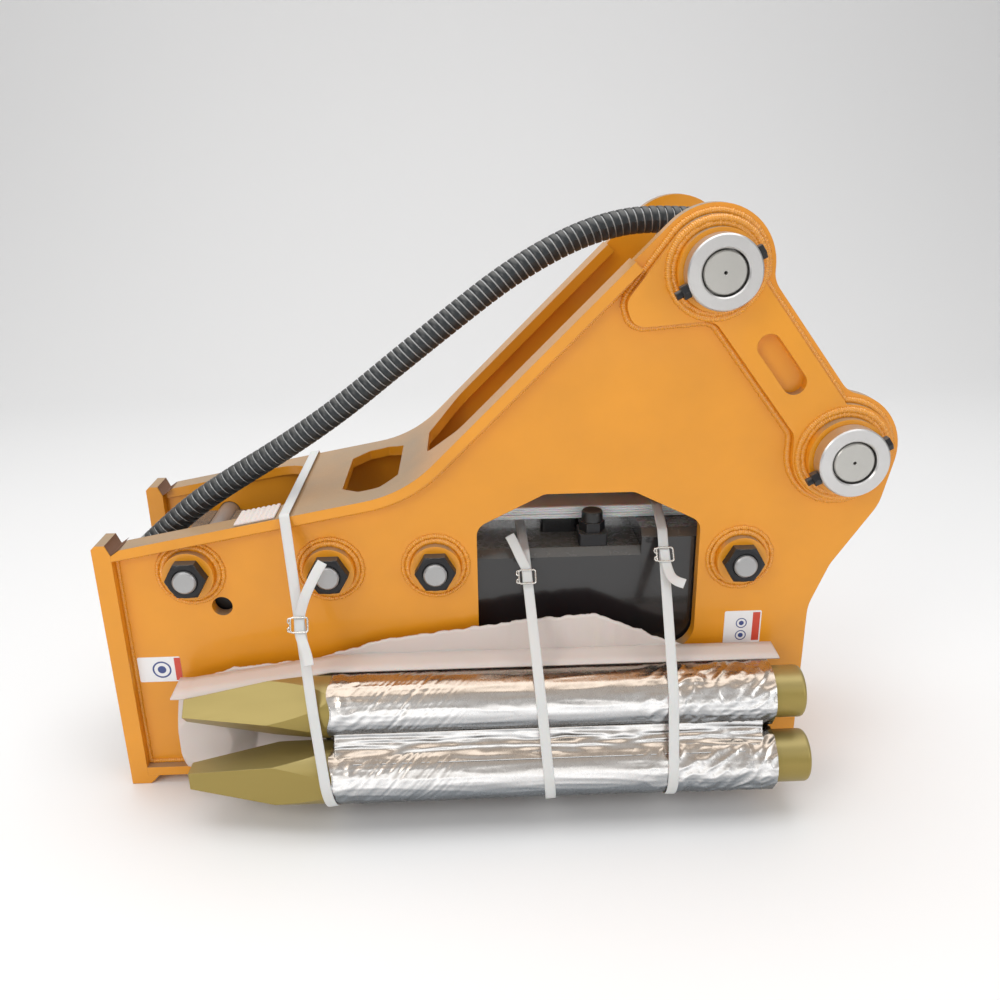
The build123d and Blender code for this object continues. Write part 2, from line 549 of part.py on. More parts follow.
def build_front_head():
    side = make_face(Polyline((0, CELL_HALF_HEIGHT - HEAD_BEVEL), (HEAD_BEVEL, CELL_HALF_HEIGHT),
                              (HEAD_LENGTH, CELL_HALF_HEIGHT), (HEAD_LENGTH, -CELL_HALF_HEIGHT),
                              (HEAD_BEVEL, -CELL_HALF_HEIGHT), (0, HEAD_BEVEL - CELL_HALF_HEIGHT),
                              close=True))
    head = axial(cell_section(), 0, HEAD_LENGTH)
    head &= slab(side, -CELL_HALF_WIDTH, CELL_HALF_WIDTH, Location())
    outer_radius, outer_length = OUTER_BUSHING
    inner_radius, inner_start, inner_end = INNER_BUSHING
    cuts = [bore(HEAD_BORE, 0, HEAD_LENGTH), bore(outer_radius, 0, outer_length),
            bore(inner_radius, inner_start, HEAD_LENGTH)]
    cuts += [bore(TIE_RADIUS, TIE_START, HEAD_LENGTH, y, z) for y, z in tie_places()]
    retainer_z = TOOL_RADIUS - TOOL_FLAT + RETAINER_RADIUS
    pins = []
    plugs = []
    plug_start = CELL_HALF_WIDTH - RETAINER_PLUG
    for z in (retainer_z, -retainer_z):
        cuts.append(rod(RETAINER_X, z, RETAINER_RADIUS, -CELL_HALF_WIDTH, CELL_HALF_WIDTH, Location()))
        pins.append(rod(RETAINER_X, z, RETAINER_RADIUS, -plug_start, plug_start, Location()))
        plugs += both_sides(rod(RETAINER_X, z, RETAINER_RADIUS, plug_start, CELL_HALF_WIDTH, Location()))
    keep("front_head", head - cuts - bolt_grooves())
    keep("retaining_pins", *pins)
    keep("retaining_pin_plugs", *plugs)
    keep("outer_tool_bushing", ring(outer_radius, TOOL_RADIUS + TOOL_CLEAR, 0, outer_length))
    keep("inner_tool_bushing", ring(inner_radius, TOOL_RADIUS + TOOL_CLEAR, inner_start, inner_end))
    keep("thrust_ring", ring(inner_radius, THRUST_BORE, inner_end, HEAD_LENGTH))
    nipple_x, nipple_radius, nipple_height = NIPPLE
    top = CELL_HALF_HEIGHT + nipple_height
    nipple = upright(Pos(nipple_x, 0) * Circle(nipple_radius), CELL_HALF_HEIGHT, top)
    keep("grease_nipple", fillet(nipple.faces().sort_by(Axis.Z)[-1].edges(), SMALL_CHAMFER))


def build_cylinder():
    guide = GUIDE_RADIUS + RUNNING_GAP
    land = LAND_RADIUS + RUNNING_GAP
    tail = TAIL_RADIUS + RUNNING_GAP
    seal_depth, seal_width = SEAL
    cuts = [bore(guide, HEAD_LENGTH, CYLINDER_END), bore(land, *CHAMBER),
            bore(RETAINER_SEAT, CHAMBER[1], CYLINDER_END),
            bore(VALVE_RADIUS + RUNNING_GAP, VALVE_START, CYLINDER_END, z=VALVE_HEIGHT)]
    cuts += [bore(TIE_RADIUS, HEAD_LENGTH, CYLINDER_END, y, z) for y, z in tie_places()]
    cuts += [bore(guide + seal_depth, x, x + seal_width) for x in FRONT_SEALS]
    seals = [ring(guide + seal_depth, guide, x, x + seal_width) for x in FRONT_SEALS]
    seals += [ring(tail + seal_depth, tail, x, x + seal_width) for x in REAR_SEALS]
    retainer = ring(RETAINER_SEAT, tail, CHAMBER[1], CYLINDER_END)
    retainer -= [bore(tail + seal_depth, x, x + seal_width) for x in REAR_SEALS]
    body = axial(cell_section(), HEAD_LENGTH, CYLINDER_END)
    ports = [port_place(side) for side in (1, -1)]
    sink = CELL_HALF_HEIGHT - PORT_FLANGE[1]
    cuts += [place * upright(Circle(PORT_BORE), sink, CELL_HALF_HEIGHT) for place in ports]
    keep("cylinder", body - cuts - bolt_grooves())
    keep("seal_retainer", retainer)
    keep("piston_seals", *seals)
    keep("piston", bore(GUIDE_RADIUS, PISTON_START, LAND[0]) + bore(LAND_RADIUS, *LAND)
         + bore(TAIL_RADIUS, LAND[1], PISTON_END))
    build_valve()
    build_ports(ports)


def build_valve():
    start, end = SPOOL
    groove = (end - start) / (2 * SPOOL_GROOVES + 1)
    spool = bore(VALVE_RADIUS, start, end, z=VALVE_HEIGHT)
    for step in range(SPOOL_GROOVES):
        spot = start + (2 * step + 1) * groove
        waist = ring(VALVE_RADIUS, VALVE_RADIUS - SPOOL_GROOVE, spot, spot + groove)
        spool -= Pos(0, 0, VALVE_HEIGHT) * waist
    keep("valve_spool", spool)
    plug_start = CYLINDER_END - VALVE_PLUG
    keep("valve_plug", bore(VALVE_RADIUS + RUNNING_GAP, plug_start, CYLINDER_END, z=VALVE_HEIGHT))
    cover_start, cover_end, half_width = VALVE_COVER
    cover = Pos((cover_start + cover_end) / 2, 0) * Rectangle(cover_end - cover_start, 2 * half_width)
    cover = fillet(cover.vertices(), COVER_EDGES[0])
    cover = upright(cover, CELL_HALF_HEIGHT, CELL_HALF_HEIGHT + BACK_HEAD_RISE)
    keep("valve_cover", chamfer(cover.faces().sort_by(Axis.Z)[-1].edges(), COVER_EDGES[1]))


def port_place(side):
    return Pos(PORT_X, side * PORT_Y, 0)


def build_ports(ports):
    flange, flange_height = PORT_FLANGE
    flats, hex_height = PORT_HEX
    cap_radius, cap_height = PORT_CAP
    base = CELL_HALF_HEIGHT
    shoulder = base + flange_height
    neck = shoulder + hex_height
    adapter = upright(fillet(Rectangle(flange, flange).vertices(), PORT_FILLETS[0]), base, shoulder)
    adapter += upright(hexagon(flats), shoulder, neck)
    adapter -= upright(Circle(PORT_BORE), base, neck)
    cap = upright(Circle(cap_radius), neck, neck + cap_height)
    cap = fillet(cap.faces().sort_by(Axis.Z)[-1].edges(), PORT_FILLETS[1])
    keep("port_adapters", *[place * adapter for place in ports])
    keep("port_caps", *[place * cap for place in ports])


def build_back_head():
    body = axial(cell_section(BACK_HEAD_RISE), CYLINDER_END, BACK_HEAD_END)
    cuts = [bore(GAS_CHAMBER, CYLINDER_END, GAS_CHAMBER_END)]
    cuts += [bore(TIE_RADIUS, CYLINDER_END, BACK_HEAD_END, y, z) for y, z in tie_places()]
    keep("back_head", body - cuts - bolt_grooves())
    valve_radius, valve_length, valve_z = GAS_VALVE
    valve = bore(valve_radius, BACK_HEAD_END, BACK_HEAD_END + valve_length, z=valve_z)
    keep("gas_valve", chamfer(valve.faces().sort_by(Axis.X)[-1].edges(), SMALL_CHAMFER))
    flats, height = TIE_NUT
    nut_end = BACK_HEAD_END + height
    keep("through_bolts", *[bore(TIE_RADIUS, TIE_START, nut_end + TIE_TAIL, y, z) for y, z in tie_places()])
    nut = axial(hexagon(flats) - Circle(TIE_RADIUS), BACK_HEAD_END, nut_end)
    keep("through_bolt_nuts", *[Pos(0, y, z) * nut for y, z in tie_places()])


def build_buffers():
    pads = []
    spans = [(RETAINER_X + FRONT_PAD[0], HEAD_LENGTH - FRONT_PAD[1]),
             (BACK_HEAD_END - REAR_PAD[0], BACK_HEAD_END - REAR_PAD[1])]
    for start, end in spans:
        pad = Pos((start + end) / 2, 0) * Rectangle(end - start, 2 * TIE_Z)
        pads += both_sides(slab(fillet(pad.vertices(), PAD_FILLET), CELL_HALF_WIDTH, PLATE_IN, Location()))
    keep("side_buffers", *pads)
    half_width, half_height = REAR_BUFFER
    wall = HOUSING_LENGTH - BACK_PLATE_INSET - INNER_PLATE - MOUTH_SETBACK
    keep("rear_buffer", axial(Rectangle(2 * half_width, 2 * half_height), BACK_HEAD_END, wall))


def chisel(turn):
    """Moil point tool along X from its tip at 0: a round bar cut by four tapering facets."""
    end_half = CHISEL_TIP + CHISEL_TAPER * CHISEL_LENGTH
    facets = loft([Plane.YZ * Rectangle(2 * CHISEL_TIP, 2 * CHISEL_TIP),
                   Plane.YZ.offset(CHISEL_LENGTH) * Rectangle(2 * end_half, 2 * end_half)])
    butt_cut, butt_length = BUTT
    step = CHISEL_LENGTH - butt_length
    bar = bore(TOOL_RADIUS, 0, step)
    bar = chamfer(bar.faces().sort_by(Axis.X)[-1].edges(), BUTT_STEP)
    butt = bore(TOOL_RADIUS - butt_cut, step, CHISEL_LENGTH)
    bar += fillet(butt.faces().sort_by(Axis.X)[-1].edges(), BUTT_FILLET)
    start, end = CHISEL_KEYWAY
    depth = TOOL_RADIUS - TOOL_FLAT / 2
    keyways = [Pos((start + end) / 2, 0, side * depth) * Box(end - start, 2 * TOOL_RADIUS, TOOL_FLAT)
               for side in (1, -1)]
    return Rot(turn, 0, 0) * ((bar & facets) - keyways)


def build_load():
    places = [HOUSING * Pos(0, axis.X, axis.Y) for axis in CHISEL_AXES]
    tips = [butt - CHISEL_LENGTH for height, out, butt in (LOWER_CHISEL, UPPER_CHISEL)]
    keep("chisels", *[place * Pos(tip, 0, 0) * chisel(turn)
                      for place, tip, turn in zip(places, tips, CHISEL_TURNS)])
    inner = TOOL_RADIUS + WRAP[0]
    keep("chisel_wraps", *[place * ring(inner + WRAP[1], inner, *WRAP_SPAN) for place in places])
    outline = make_face(Polyline(*FOAM_PATH, close=True))
    outline -= [Pos(x, z) * Circle(SHEET_NUT_CLEAR) for x, z in bolt_places()]
    foam = slab(outline, -HALF - SHEET_GAP - SHEET, -HALF - SHEET_GAP)
    pad_start, pad_end, pad_thickness = PAD
    pad_line = top_line(-STRAP_SLACK, pad_start)
    pad_low = pad_line @ 0
    pad = Pos(pad_low.X, pad_low.Y) * Rot(0, 0, TOP_SLOPE) * Rectangle(pad_end - pad_start, pad_thickness,
                                                                      align=Align.MIN)
    keep("foam_sheets", foam, slab(pad, *(across - HALF for across in PAD_ACROSS)))
    start, end, half_width, height = BUNDLE
    low = AXIS_HEIGHT + CELL_HALF_HEIGHT + BACK_HEAD_RISE + BUNDLE_LIFT
    bundle = Pos((start + end) / 2, low + height / 2) * Rectangle(end - start, height)
    keep("foam_bundle", slab(fillet(bundle.vertices(), BUNDLE_FILLET), -half_width, half_width))


def tangent(point, centre, radius, side):
    """Direction from a point to a circle's edge, on the left (1) or the right (-1) of its centre."""
    to_centre = centre - point
    return to_centre.rotate(Axis.Z, side * degrees(asin(radius / to_centre.length))).normalized()


def load_corners(near, under):
    """Corners of a strap's loop that go round the chisels, and the radius they bend to."""
    radius = TOOL_RADIUS + sum(WRAP) + STRAP_SLACK
    lower, upper = CHISEL_AXES
    down = (lower - upper).normalized()
    side = upper + Vector(down.Y, -down.X) * radius
    low = meet(side, down, under, tangent(under, lower, radius, 1))
    turn_in = meet(side, down, near, tangent(near, upper, radius, -1))
    return low, turn_in, radius


def leaning(x, lean, pivot_z, solid):
    return HOUSING * Pos(x, 0, pivot_z) * Rot(0, -lean, 0) * Pos(0, 0, -pivot_z) * solid


def strap(x, lean, rest):
    """Closed loop of strap round the chisels and the housing. rest gives the loop's other
    corners as (y, height above the foot, radius), from the near top edge to the far foot."""
    low, turn_in, radius = load_corners(Vector(*rest[0][:2]), UNDER)
    top = max(z for y, z, bend in rest)
    corners = [(y, z) for y, z, bend in rest]
    corners += [(corner.X, corner.Y) for corner in (UNDER, low, turn_in)]
    stretched = [(y, top - (top - z) / cos(radians(lean))) for y, z in corners]
    bends = [bend for y, z, bend in rest] + [STRAP_BEND, radius, radius]
    inner = make_face(FilletPolyline(*stretched, radius=bends, close=True))
    loop = offset(inner, amount=STRAP) - inner
    return leaning(x, lean, top, axial(loop, -STRAP_WIDTH / 2, STRAP_WIDTH / 2))


def buckle(x, lean, near, along):
    """Wire buckle lying on a strap, this far down the run from the strap's near top corner."""
    low, turn_in, radius = load_corners(near, UNDER)
    run = (turn_in - near).normalized()
    spot = near + run * along
    plane = Plane(origin=(0, spot.X, spot.Y), x_dir=(1, 0, 0), z_dir=(0, run.Y, -run.X))
    length, width, wire = BUCKLE
    frame = fillet(Rectangle(length, width).vertices(), 1.5 * wire)
    frame -= fillet(Rectangle(length - 2 * wire, width - 2 * wire).vertices(), wire / 2)
    solid = extrude(plane.offset(STRAP + STRAP_SLACK) * frame, amount=wire)
    return leaning(x, lean, near.Y, solid)


def top_height(x):
    return TOP_FRONT_HEIGHT + (x - BAR_LENGTH) * tan(radians(TOP_SLOPE))


def build_straps():
    far = HALF + STRAP_SLACK
    foot = FOOT_CLEAR - STRAP_SLACK
    cell = CELL_HALF_WIDTH + STRAP_SLACK
    cell_top = AXIS_HEIGHT + CELL_HALF_HEIGHT + STRAP_SLACK
    head_top = cell_top + BACK_HEAD_RISE
    bundle = BUNDLE[2] + 2 * STRAP_SLACK
    bundle_top = head_top + BUNDLE_LIFT + BUNDLE[3]
    sill = WINDOW_LOW + STRAP_SLACK
    through = [(PLATE_IN - STRAP_SLACK, sill, STRAP_BEND), (PLATE_OUT + STRAP_SLACK, sill, STRAP_BEND),
               (far, RAIL_TOP, STRAP_BEND), (far, foot, STRAP_BEND)]
    front_top = top_height(FRONT_STRAP[0] + STRAP_WIDTH / 2) + 2 * STRAP_SLACK
    over = HALF + NUT_HEIGHT + BOLT_TAIL + STRAP_SLACK
    high = AXIS_HEIGHT + BOLT_OFFSET + STRAP_OVER_BOLTS
    low = AXIS_HEIGHT - BOLT_OFFSET - STRAP_OVER_BOLTS
    front = [(-far, front_top, STRAP_BEND), (far, front_top, STRAP_BEND), (over, high, STRAP_BEND),
             (over, low, STRAP_BEND), (far, foot, STRAP_BEND)]
    middle = [(-cell, cell_top, STRAP_BEND), (cell, cell_top, STRAP_BEND), *through]
    rear = [(-cell, head_top, STRAP_BEND), (-bundle, bundle_top, STRAP_BEND),
            (bundle, bundle_top, STRAP_BEND), (cell, head_top, STRAP_BEND), *through]
    loops = []
    buckles = []
    for (x, lean, along), rest in ((FRONT_STRAP, front), (MIDDLE_STRAP, middle), (REAR_STRAP, rear)):
        loops.append(strap(x, lean, rest))
        buckles.append(buckle(x, lean, Vector(*rest[0][:2]), along))
    keep("cargo_straps", *loops)
    keep("strap_buckles", *buckles)


def bend_radii(points):
    """Largest radius that each inner point's two runs allow."""
    radii = []
    for before, here, after in zip(points, points[1:], points[2:]):
        entry = Vector(*here) - Vector(*before)
        leave = Vector(*after) - Vector(*here)
        half_turn = radians(entry.get_angle(leave) / 2)
        radii.append(BEND_SHARE * min(entry.length, leave.length) / tan(half_turn))
    return radii


def hose(name, points, radius):
    radii = bend_radii(points)
    path = FilletPolyline(*points, radius=radii)
    section = Plane(origin=path @ 0, z_dir=path % 0) * Circle(radius)
    tube = sweep(section, path=path)
    print(name, "length", round(path.length), "radii", [round(r) for r in radii])
    print(name, "volume ratio", round(tube.volume / (section.area * path.length), 4))
    keep(name, tube)


def hose_fitting(points, radius):
    """Ferrule, hexagon and dust cap on the end of a hose that stops at the first point."""
    ferrule, flats, hex_length = FITTING
    scale = radius / HOSE_RADIUS
    run = (Vector(*points[0]) - Vector(*points[1])).normalized()
    plane = Plane(origin=points[0], z_dir=run)
    body = extrude(plane * Circle(radius), amount=ferrule)
    body += extrude(plane.offset(ferrule) * hexagon(flats * scale), amount=hex_length)
    cap = extrude(plane.offset(ferrule + hex_length) * Circle(radius * CAP_SHARE), amount=FITTING_CAP)
    return body + cap


def build_hoses():
    hose("supply_hose", SUPPLY_ROUTE, HOSE_RADIUS)
    hose("return_hose", RETURN_ROUTE, RETURN_RADIUS)
    fittings = []
    for route, radius in ((SUPPLY_ROUTE, HOSE_RADIUS), (RETURN_ROUTE, RETURN_RADIUS)):
        fittings += [hose_fitting(route, radius), hose_fitting(route[::-1], radius)]
    keep("hose_fittings", *fittings)


def build_decals():
    labels = []
    for left, low, length, height in DECALS:
        label = Pos(left + length / 2, low + height / 2) * Rectangle(length, height)
        labels.append(slab(fillet(label.vertices(), DECAL_FILLET), -PLATE_OUT - DECAL, -PLATE_OUT))
    keep("decals", *labels)


build_side_plates()
build_head_doublers()
build_bars()
build_top_plate()
build_inner_plates()
build_side_bolts()
build_pin_seats()
build_pin_set("upper", UPPER_PIN)
build_pin_set("lower", LOWER_PIN)
build_front_head()
build_cylinder()
build_back_head()
build_buffers()
build_load()
build_straps()
build_hoses()
build_decals()

os.makedirs("parts", exist_ok=True)
for name, solids in nodes.items():
    shape = solids[0] if len(solids) == 1 else Compound(children=solids)
    export_step(shape, "parts/" + name + ".step")
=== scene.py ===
import json
import math

import bmesh
import bpy
import numpy as np
from mathutils import Matrix, Vector, noise


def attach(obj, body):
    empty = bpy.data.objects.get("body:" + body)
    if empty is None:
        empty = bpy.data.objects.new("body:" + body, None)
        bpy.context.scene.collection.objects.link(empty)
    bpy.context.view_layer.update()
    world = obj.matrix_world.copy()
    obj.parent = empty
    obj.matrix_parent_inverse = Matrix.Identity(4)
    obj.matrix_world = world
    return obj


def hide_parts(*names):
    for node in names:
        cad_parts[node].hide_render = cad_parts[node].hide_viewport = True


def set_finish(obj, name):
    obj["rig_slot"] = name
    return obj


# Looks of the hydraulic breaker, in the row frame, in metres. Housing sizes (H) are in
# millimetres from the front edge, from the middle plane and from the foot.
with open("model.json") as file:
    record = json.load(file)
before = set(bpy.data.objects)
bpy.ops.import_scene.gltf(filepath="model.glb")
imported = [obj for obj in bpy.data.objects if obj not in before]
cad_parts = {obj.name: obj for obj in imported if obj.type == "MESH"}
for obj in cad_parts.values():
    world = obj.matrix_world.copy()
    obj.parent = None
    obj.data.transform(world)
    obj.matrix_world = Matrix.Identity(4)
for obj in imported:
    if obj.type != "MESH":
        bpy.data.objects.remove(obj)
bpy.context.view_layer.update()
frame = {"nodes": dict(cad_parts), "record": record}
NODES = frame["nodes"]
MM = 0.001
SETBACK, AXIS_HEIGHT = 40.0, 237.5
HALF, PLATE_OUT = 158.0, 142.0
UPPER_PIN, LOWER_PIN = (926.0, 822.0), (1135.0, 547.0)
BOLT_SPOTS, BOLT_ROWS = (139.0, 354.0, 518.0, 996.0), (375.0, 100.0)
CHISELS = ((-262.0, 88.0, 136.0), (-230.0, 184.0, 130.0))     # y, z and tip of each axis
BODY = "housing"


def H(x, y, z):
    return Vector(((x - SETBACK) * MM, y * MM, (z - AXIS_HEIGHT) * MM))


# ---- Camera, floor and light ----
def build_camera():
    data = bpy.data.cameras.new("camera")
    data.lens, data.sensor_width = 33.53, 36.0
    camera = bpy.data.objects.new("camera", data)
    turn = Matrix.Rotation(math.radians(-1.944), 4, "Z") @ Matrix.Rotation(math.radians(69.484), 4, "X")
    turn = turn @ Matrix.Rotation(math.radians(-0.846), 4, "Z")
    camera.matrix_world = Matrix.Translation((0.5347, -1.4704, 0.7415)) @ turn
    bpy.context.scene.collection.objects.link(camera)
    bpy.context.scene.camera = camera


def area_light(name, spot, aim, size, power, colour=(1, 1, 1)):
    data = bpy.data.lights.new(name, "AREA")
    data.shape, data.size, data.size_y, data.energy, data.color = "RECTANGLE", size[0], size[1], power, colour
    lamp = bpy.data.objects.new(name, data)
    lamp.location = spot
    lamp.rotation_euler = (Vector(aim) - Vector(spot)).to_track_quat("-Z", "Y").to_euler()
    bpy.context.scene.collection.objects.link(lamp)


def build_light():
    area_light("sky_panel", (0.5, 0.3, 3.2), (0.5, 0, 0), (4.5, 3.5), 88)
    area_light("key", (-1.6, -2.6, 2.0), (0.5, -0.1, 0.1), (1.6, 1.6), 33, (1.0, 0.98, 0.95))
    area_light("fill", (2.9, -2.2, 1.1), (0.6, -0.1, 0.1), (1.4, 1.8), 17, (0.96, 0.98, 1.0))
    area_light("low_fill", (0.3, -3.2, 0.25), (0.5, 0, -0.05), (3.2, 1.0), 9, (1.0, 0.98, 0.95))
    world = bpy.data.worlds.new("studio")
    bpy.context.scene.world = world
    world.use_nodes = True
    tree = world.node_tree
    tree.nodes.clear()
    coordinates = tree.nodes.new("ShaderNodeTexCoord")
    split = tree.nodes.new("ShaderNodeSeparateXYZ")
    ramp = tree.nodes.new("ShaderNodeValToRGB")
    ramp.color_ramp.elements[0].position, ramp.color_ramp.elements[0].color = 0.0, (0.42, 0.42, 0.43, 1)
    ramp.color_ramp.elements[1].position, ramp.color_ramp.elements[1].color = 0.75, (1.0, 1.0, 1.0, 1)
    back = tree.nodes.new("ShaderNodeBackground")
    back.inputs["Strength"].default_value = 0.62
    out = tree.nodes.new("ShaderNodeOutputWorld")
    tree.links.new(coordinates.outputs["Generated"], split.inputs[0])
    tree.links.new(split.outputs["Z"], ramp.inputs[0])
    tree.links.new(ramp.outputs[0], back.inputs["Color"])
    tree.links.new(back.outputs[0], out.inputs[0])
    bpy.context.scene.view_settings.view_transform = "Standard"


# ---- Mesh helpers ----
def add_mesh(name, points, faces, material, smooth=True, uv=None, slot=None):
    mesh = bpy.data.meshes.new(name)
    mesh.from_pydata([tuple(p) for p in points], [], [tuple(int(i) for i in f) for f in faces])
    if uv is not None:
        layer = mesh.uv_layers.new(name="UVMap")
        index = np.zeros(len(mesh.loops), int)
        mesh.loops.foreach_get("vertex_index", index)
        layer.data.foreach_set("uv", np.asarray(uv, float)[index].ravel())
    mesh.polygons.foreach_set("use_smooth", [smooth] * len(mesh.polygons))
    mesh.update()
    piece = bpy.data.objects.new(name, mesh)
    bpy.context.scene.collection.objects.link(piece)
    if material:
        mesh.materials.append(material)
    if slot:
        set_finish(piece, slot)
        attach(piece, BODY)
    return piece


def skin(name, rings, material, slot, loop=False, around=True, caps=False, smooth=True):
    """Surface through rows of points. loop joins the last row to the first, around closes a row."""
    rings = np.asarray(rings, float)
    n, m = rings.shape[:2]
    rows = n if loop else n - 1
    columns = m if around else m - 1
    i, j = np.meshgrid(np.arange(rows), np.arange(columns), indexing="ij")
    i, j = i.ravel(), j.ravel()
    a, b = (i + 1) % n, (j + 1) % m
    faces = list(np.stack([i * m + j, i * m + b, a * m + b, a * m + j], 1))
    if caps:
        faces += [list(range(m))[::-1], [(n - 1) * m + k for k in range(m)]]
    along = np.concatenate([[0], np.cumsum(np.linalg.norm(np.diff(rings.mean(1), axis=0), axis=1))])
    over = np.concatenate([[0], np.cumsum(np.linalg.norm(np.diff(rings[n // 2], axis=0), axis=1))])
    uv = np.stack(np.meshgrid(along, over, indexing="ij"), -1).reshape(-1, 2)
    piece = add_mesh(name, rings.reshape(-1, 3), faces, material, smooth, uv, slot)
    fix = bmesh.new()
    fix.from_mesh(piece.data)
    bmesh.ops.recalc_face_normals(fix, faces=fix.faces)
    fix.to_mesh(piece.data)
    fix.free()
    return piece


def joined(name, pieces):
    """One object from several, keeping the first one's slot and body."""
    made = bmesh.new()
    for piece in pieces:
        made.from_mesh(piece.data)
    material, slot = pieces[0].data.materials[0], pieces[0]["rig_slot"]
    for piece in pieces:
        bpy.data.objects.remove(piece)
    mesh = bpy.data.meshes.new(name)
    made.to_mesh(mesh)
    made.free()
    mesh.materials.append(material)
    whole = bpy.data.objects.new(name, mesh)
    bpy.context.scene.collection.objects.link(whole)
    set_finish(whole, slot)
    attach(whole, BODY)
    return whole


def resample(points, step, closed=False):
    points = np.asarray(points, float)
    if closed:
        points = np.vstack([points, points[:1]])
    along = np.concatenate([[0], np.cumsum(np.linalg.norm(np.diff(points, axis=0), axis=1))])
    count = max(3, int(round(along[-1] / step)))
    spots = np.linspace(0, along[-1], count + 1)
    made = np.stack([np.interp(spots, along, points[:, k]) for k in range(points.shape[1])], 1)
    return made[:-1] if closed else made


def boundary_loops(faces):
    """Ordered outlines, longest first, of a set of bmesh faces."""
    chosen = set(faces)
    follow = {}
    for edge in {e for f in chosen for e in f.edges}:
        if sum(f in chosen for f in edge.link_faces) == 1:
            for here, there in (edge.verts, reversed(edge.verts)):
                follow.setdefault(here, []).append(there)
    loops = []
    while follow:
        start = here = next(iter(follow))
        loop = []
        while here in follow:
            loop.append(tuple(here.co))
            ways = follow.pop(here)
            ahead = [v for v in ways if v in follow]
            here = ahead[0] if ahead else start
        loops.append(np.array(loop))
    length = lambda p: np.linalg.norm(np.diff(p, axis=0), axis=1).sum()
    return sorted(loops, key=length, reverse=True)


def merged(node):
    made = bmesh.new()
    made.from_mesh(NODES[node].data)
    bmesh.ops.remove_doubles(made, verts=made.verts, dist=1e-6)
    return made


def flat_outlines(node, level, side=-1):
    """Outlines of a node's faces that look along Y at this level in millimetres."""
    made = merged(node)
    faces = [f for f in made.faces if f.normal.y * side > 0.999
             and abs(f.calc_center_median().y - side * level * MM) < 2e-4]
    return boundary_loops(faces)


def islands(made):
    left = set(made.verts)
    while left:
        queue = [left.pop()]
        found = set(queue)
        while queue:
            for edge in queue.pop().link_edges:
                for v in edge.verts:
                    if v not in found:
                        found.add(v)
                        queue.append(v)
        left -= found
        yield found


def grown(loop, distance, step=3.0):
    """A flat XZ outline moved outwards by a distance in millimetres."""
    loop = resample(loop, step * MM, True)
    x, z = loop[:, 0], loop[:, 2]
    turn = np.sign(np.sum(x * np.roll(z, -1) - np.roll(x, -1) * z))
    run = np.roll(loop, -1, 0) - np.roll(loop, 1, 0)
    run /= np.linalg.norm(run, axis=1)[:, None]
    return loop + np.stack([run[:, 2], run[:, 1] * 0, -run[:, 0]], 1) * distance * MM * turn


def circle(x, y, z, radius, step=2.0):
    count = max(16, int(2 * math.pi * radius / step))
    turn = np.linspace(0, 2 * math.pi, count, endpoint=False)
    return np.array([H(x + radius * math.cos(t), y, z + radius * math.sin(t)) for t in turn])


def smooth_noise(points, scale, seed=0):
    shift = Vector((seed * 7.31, seed * 3.17, seed * 5.71))
    return np.array([noise.noise(Vector(p) * scale + shift) for p in points])


# ---- Shader groups and materials ----
def socket(group, name, kind, value=None, out=False):
    made = group.interface.new_socket(name, in_out="OUTPUT" if out else "INPUT", socket_type=kind)
    if value is not None:
        made.default_value = value


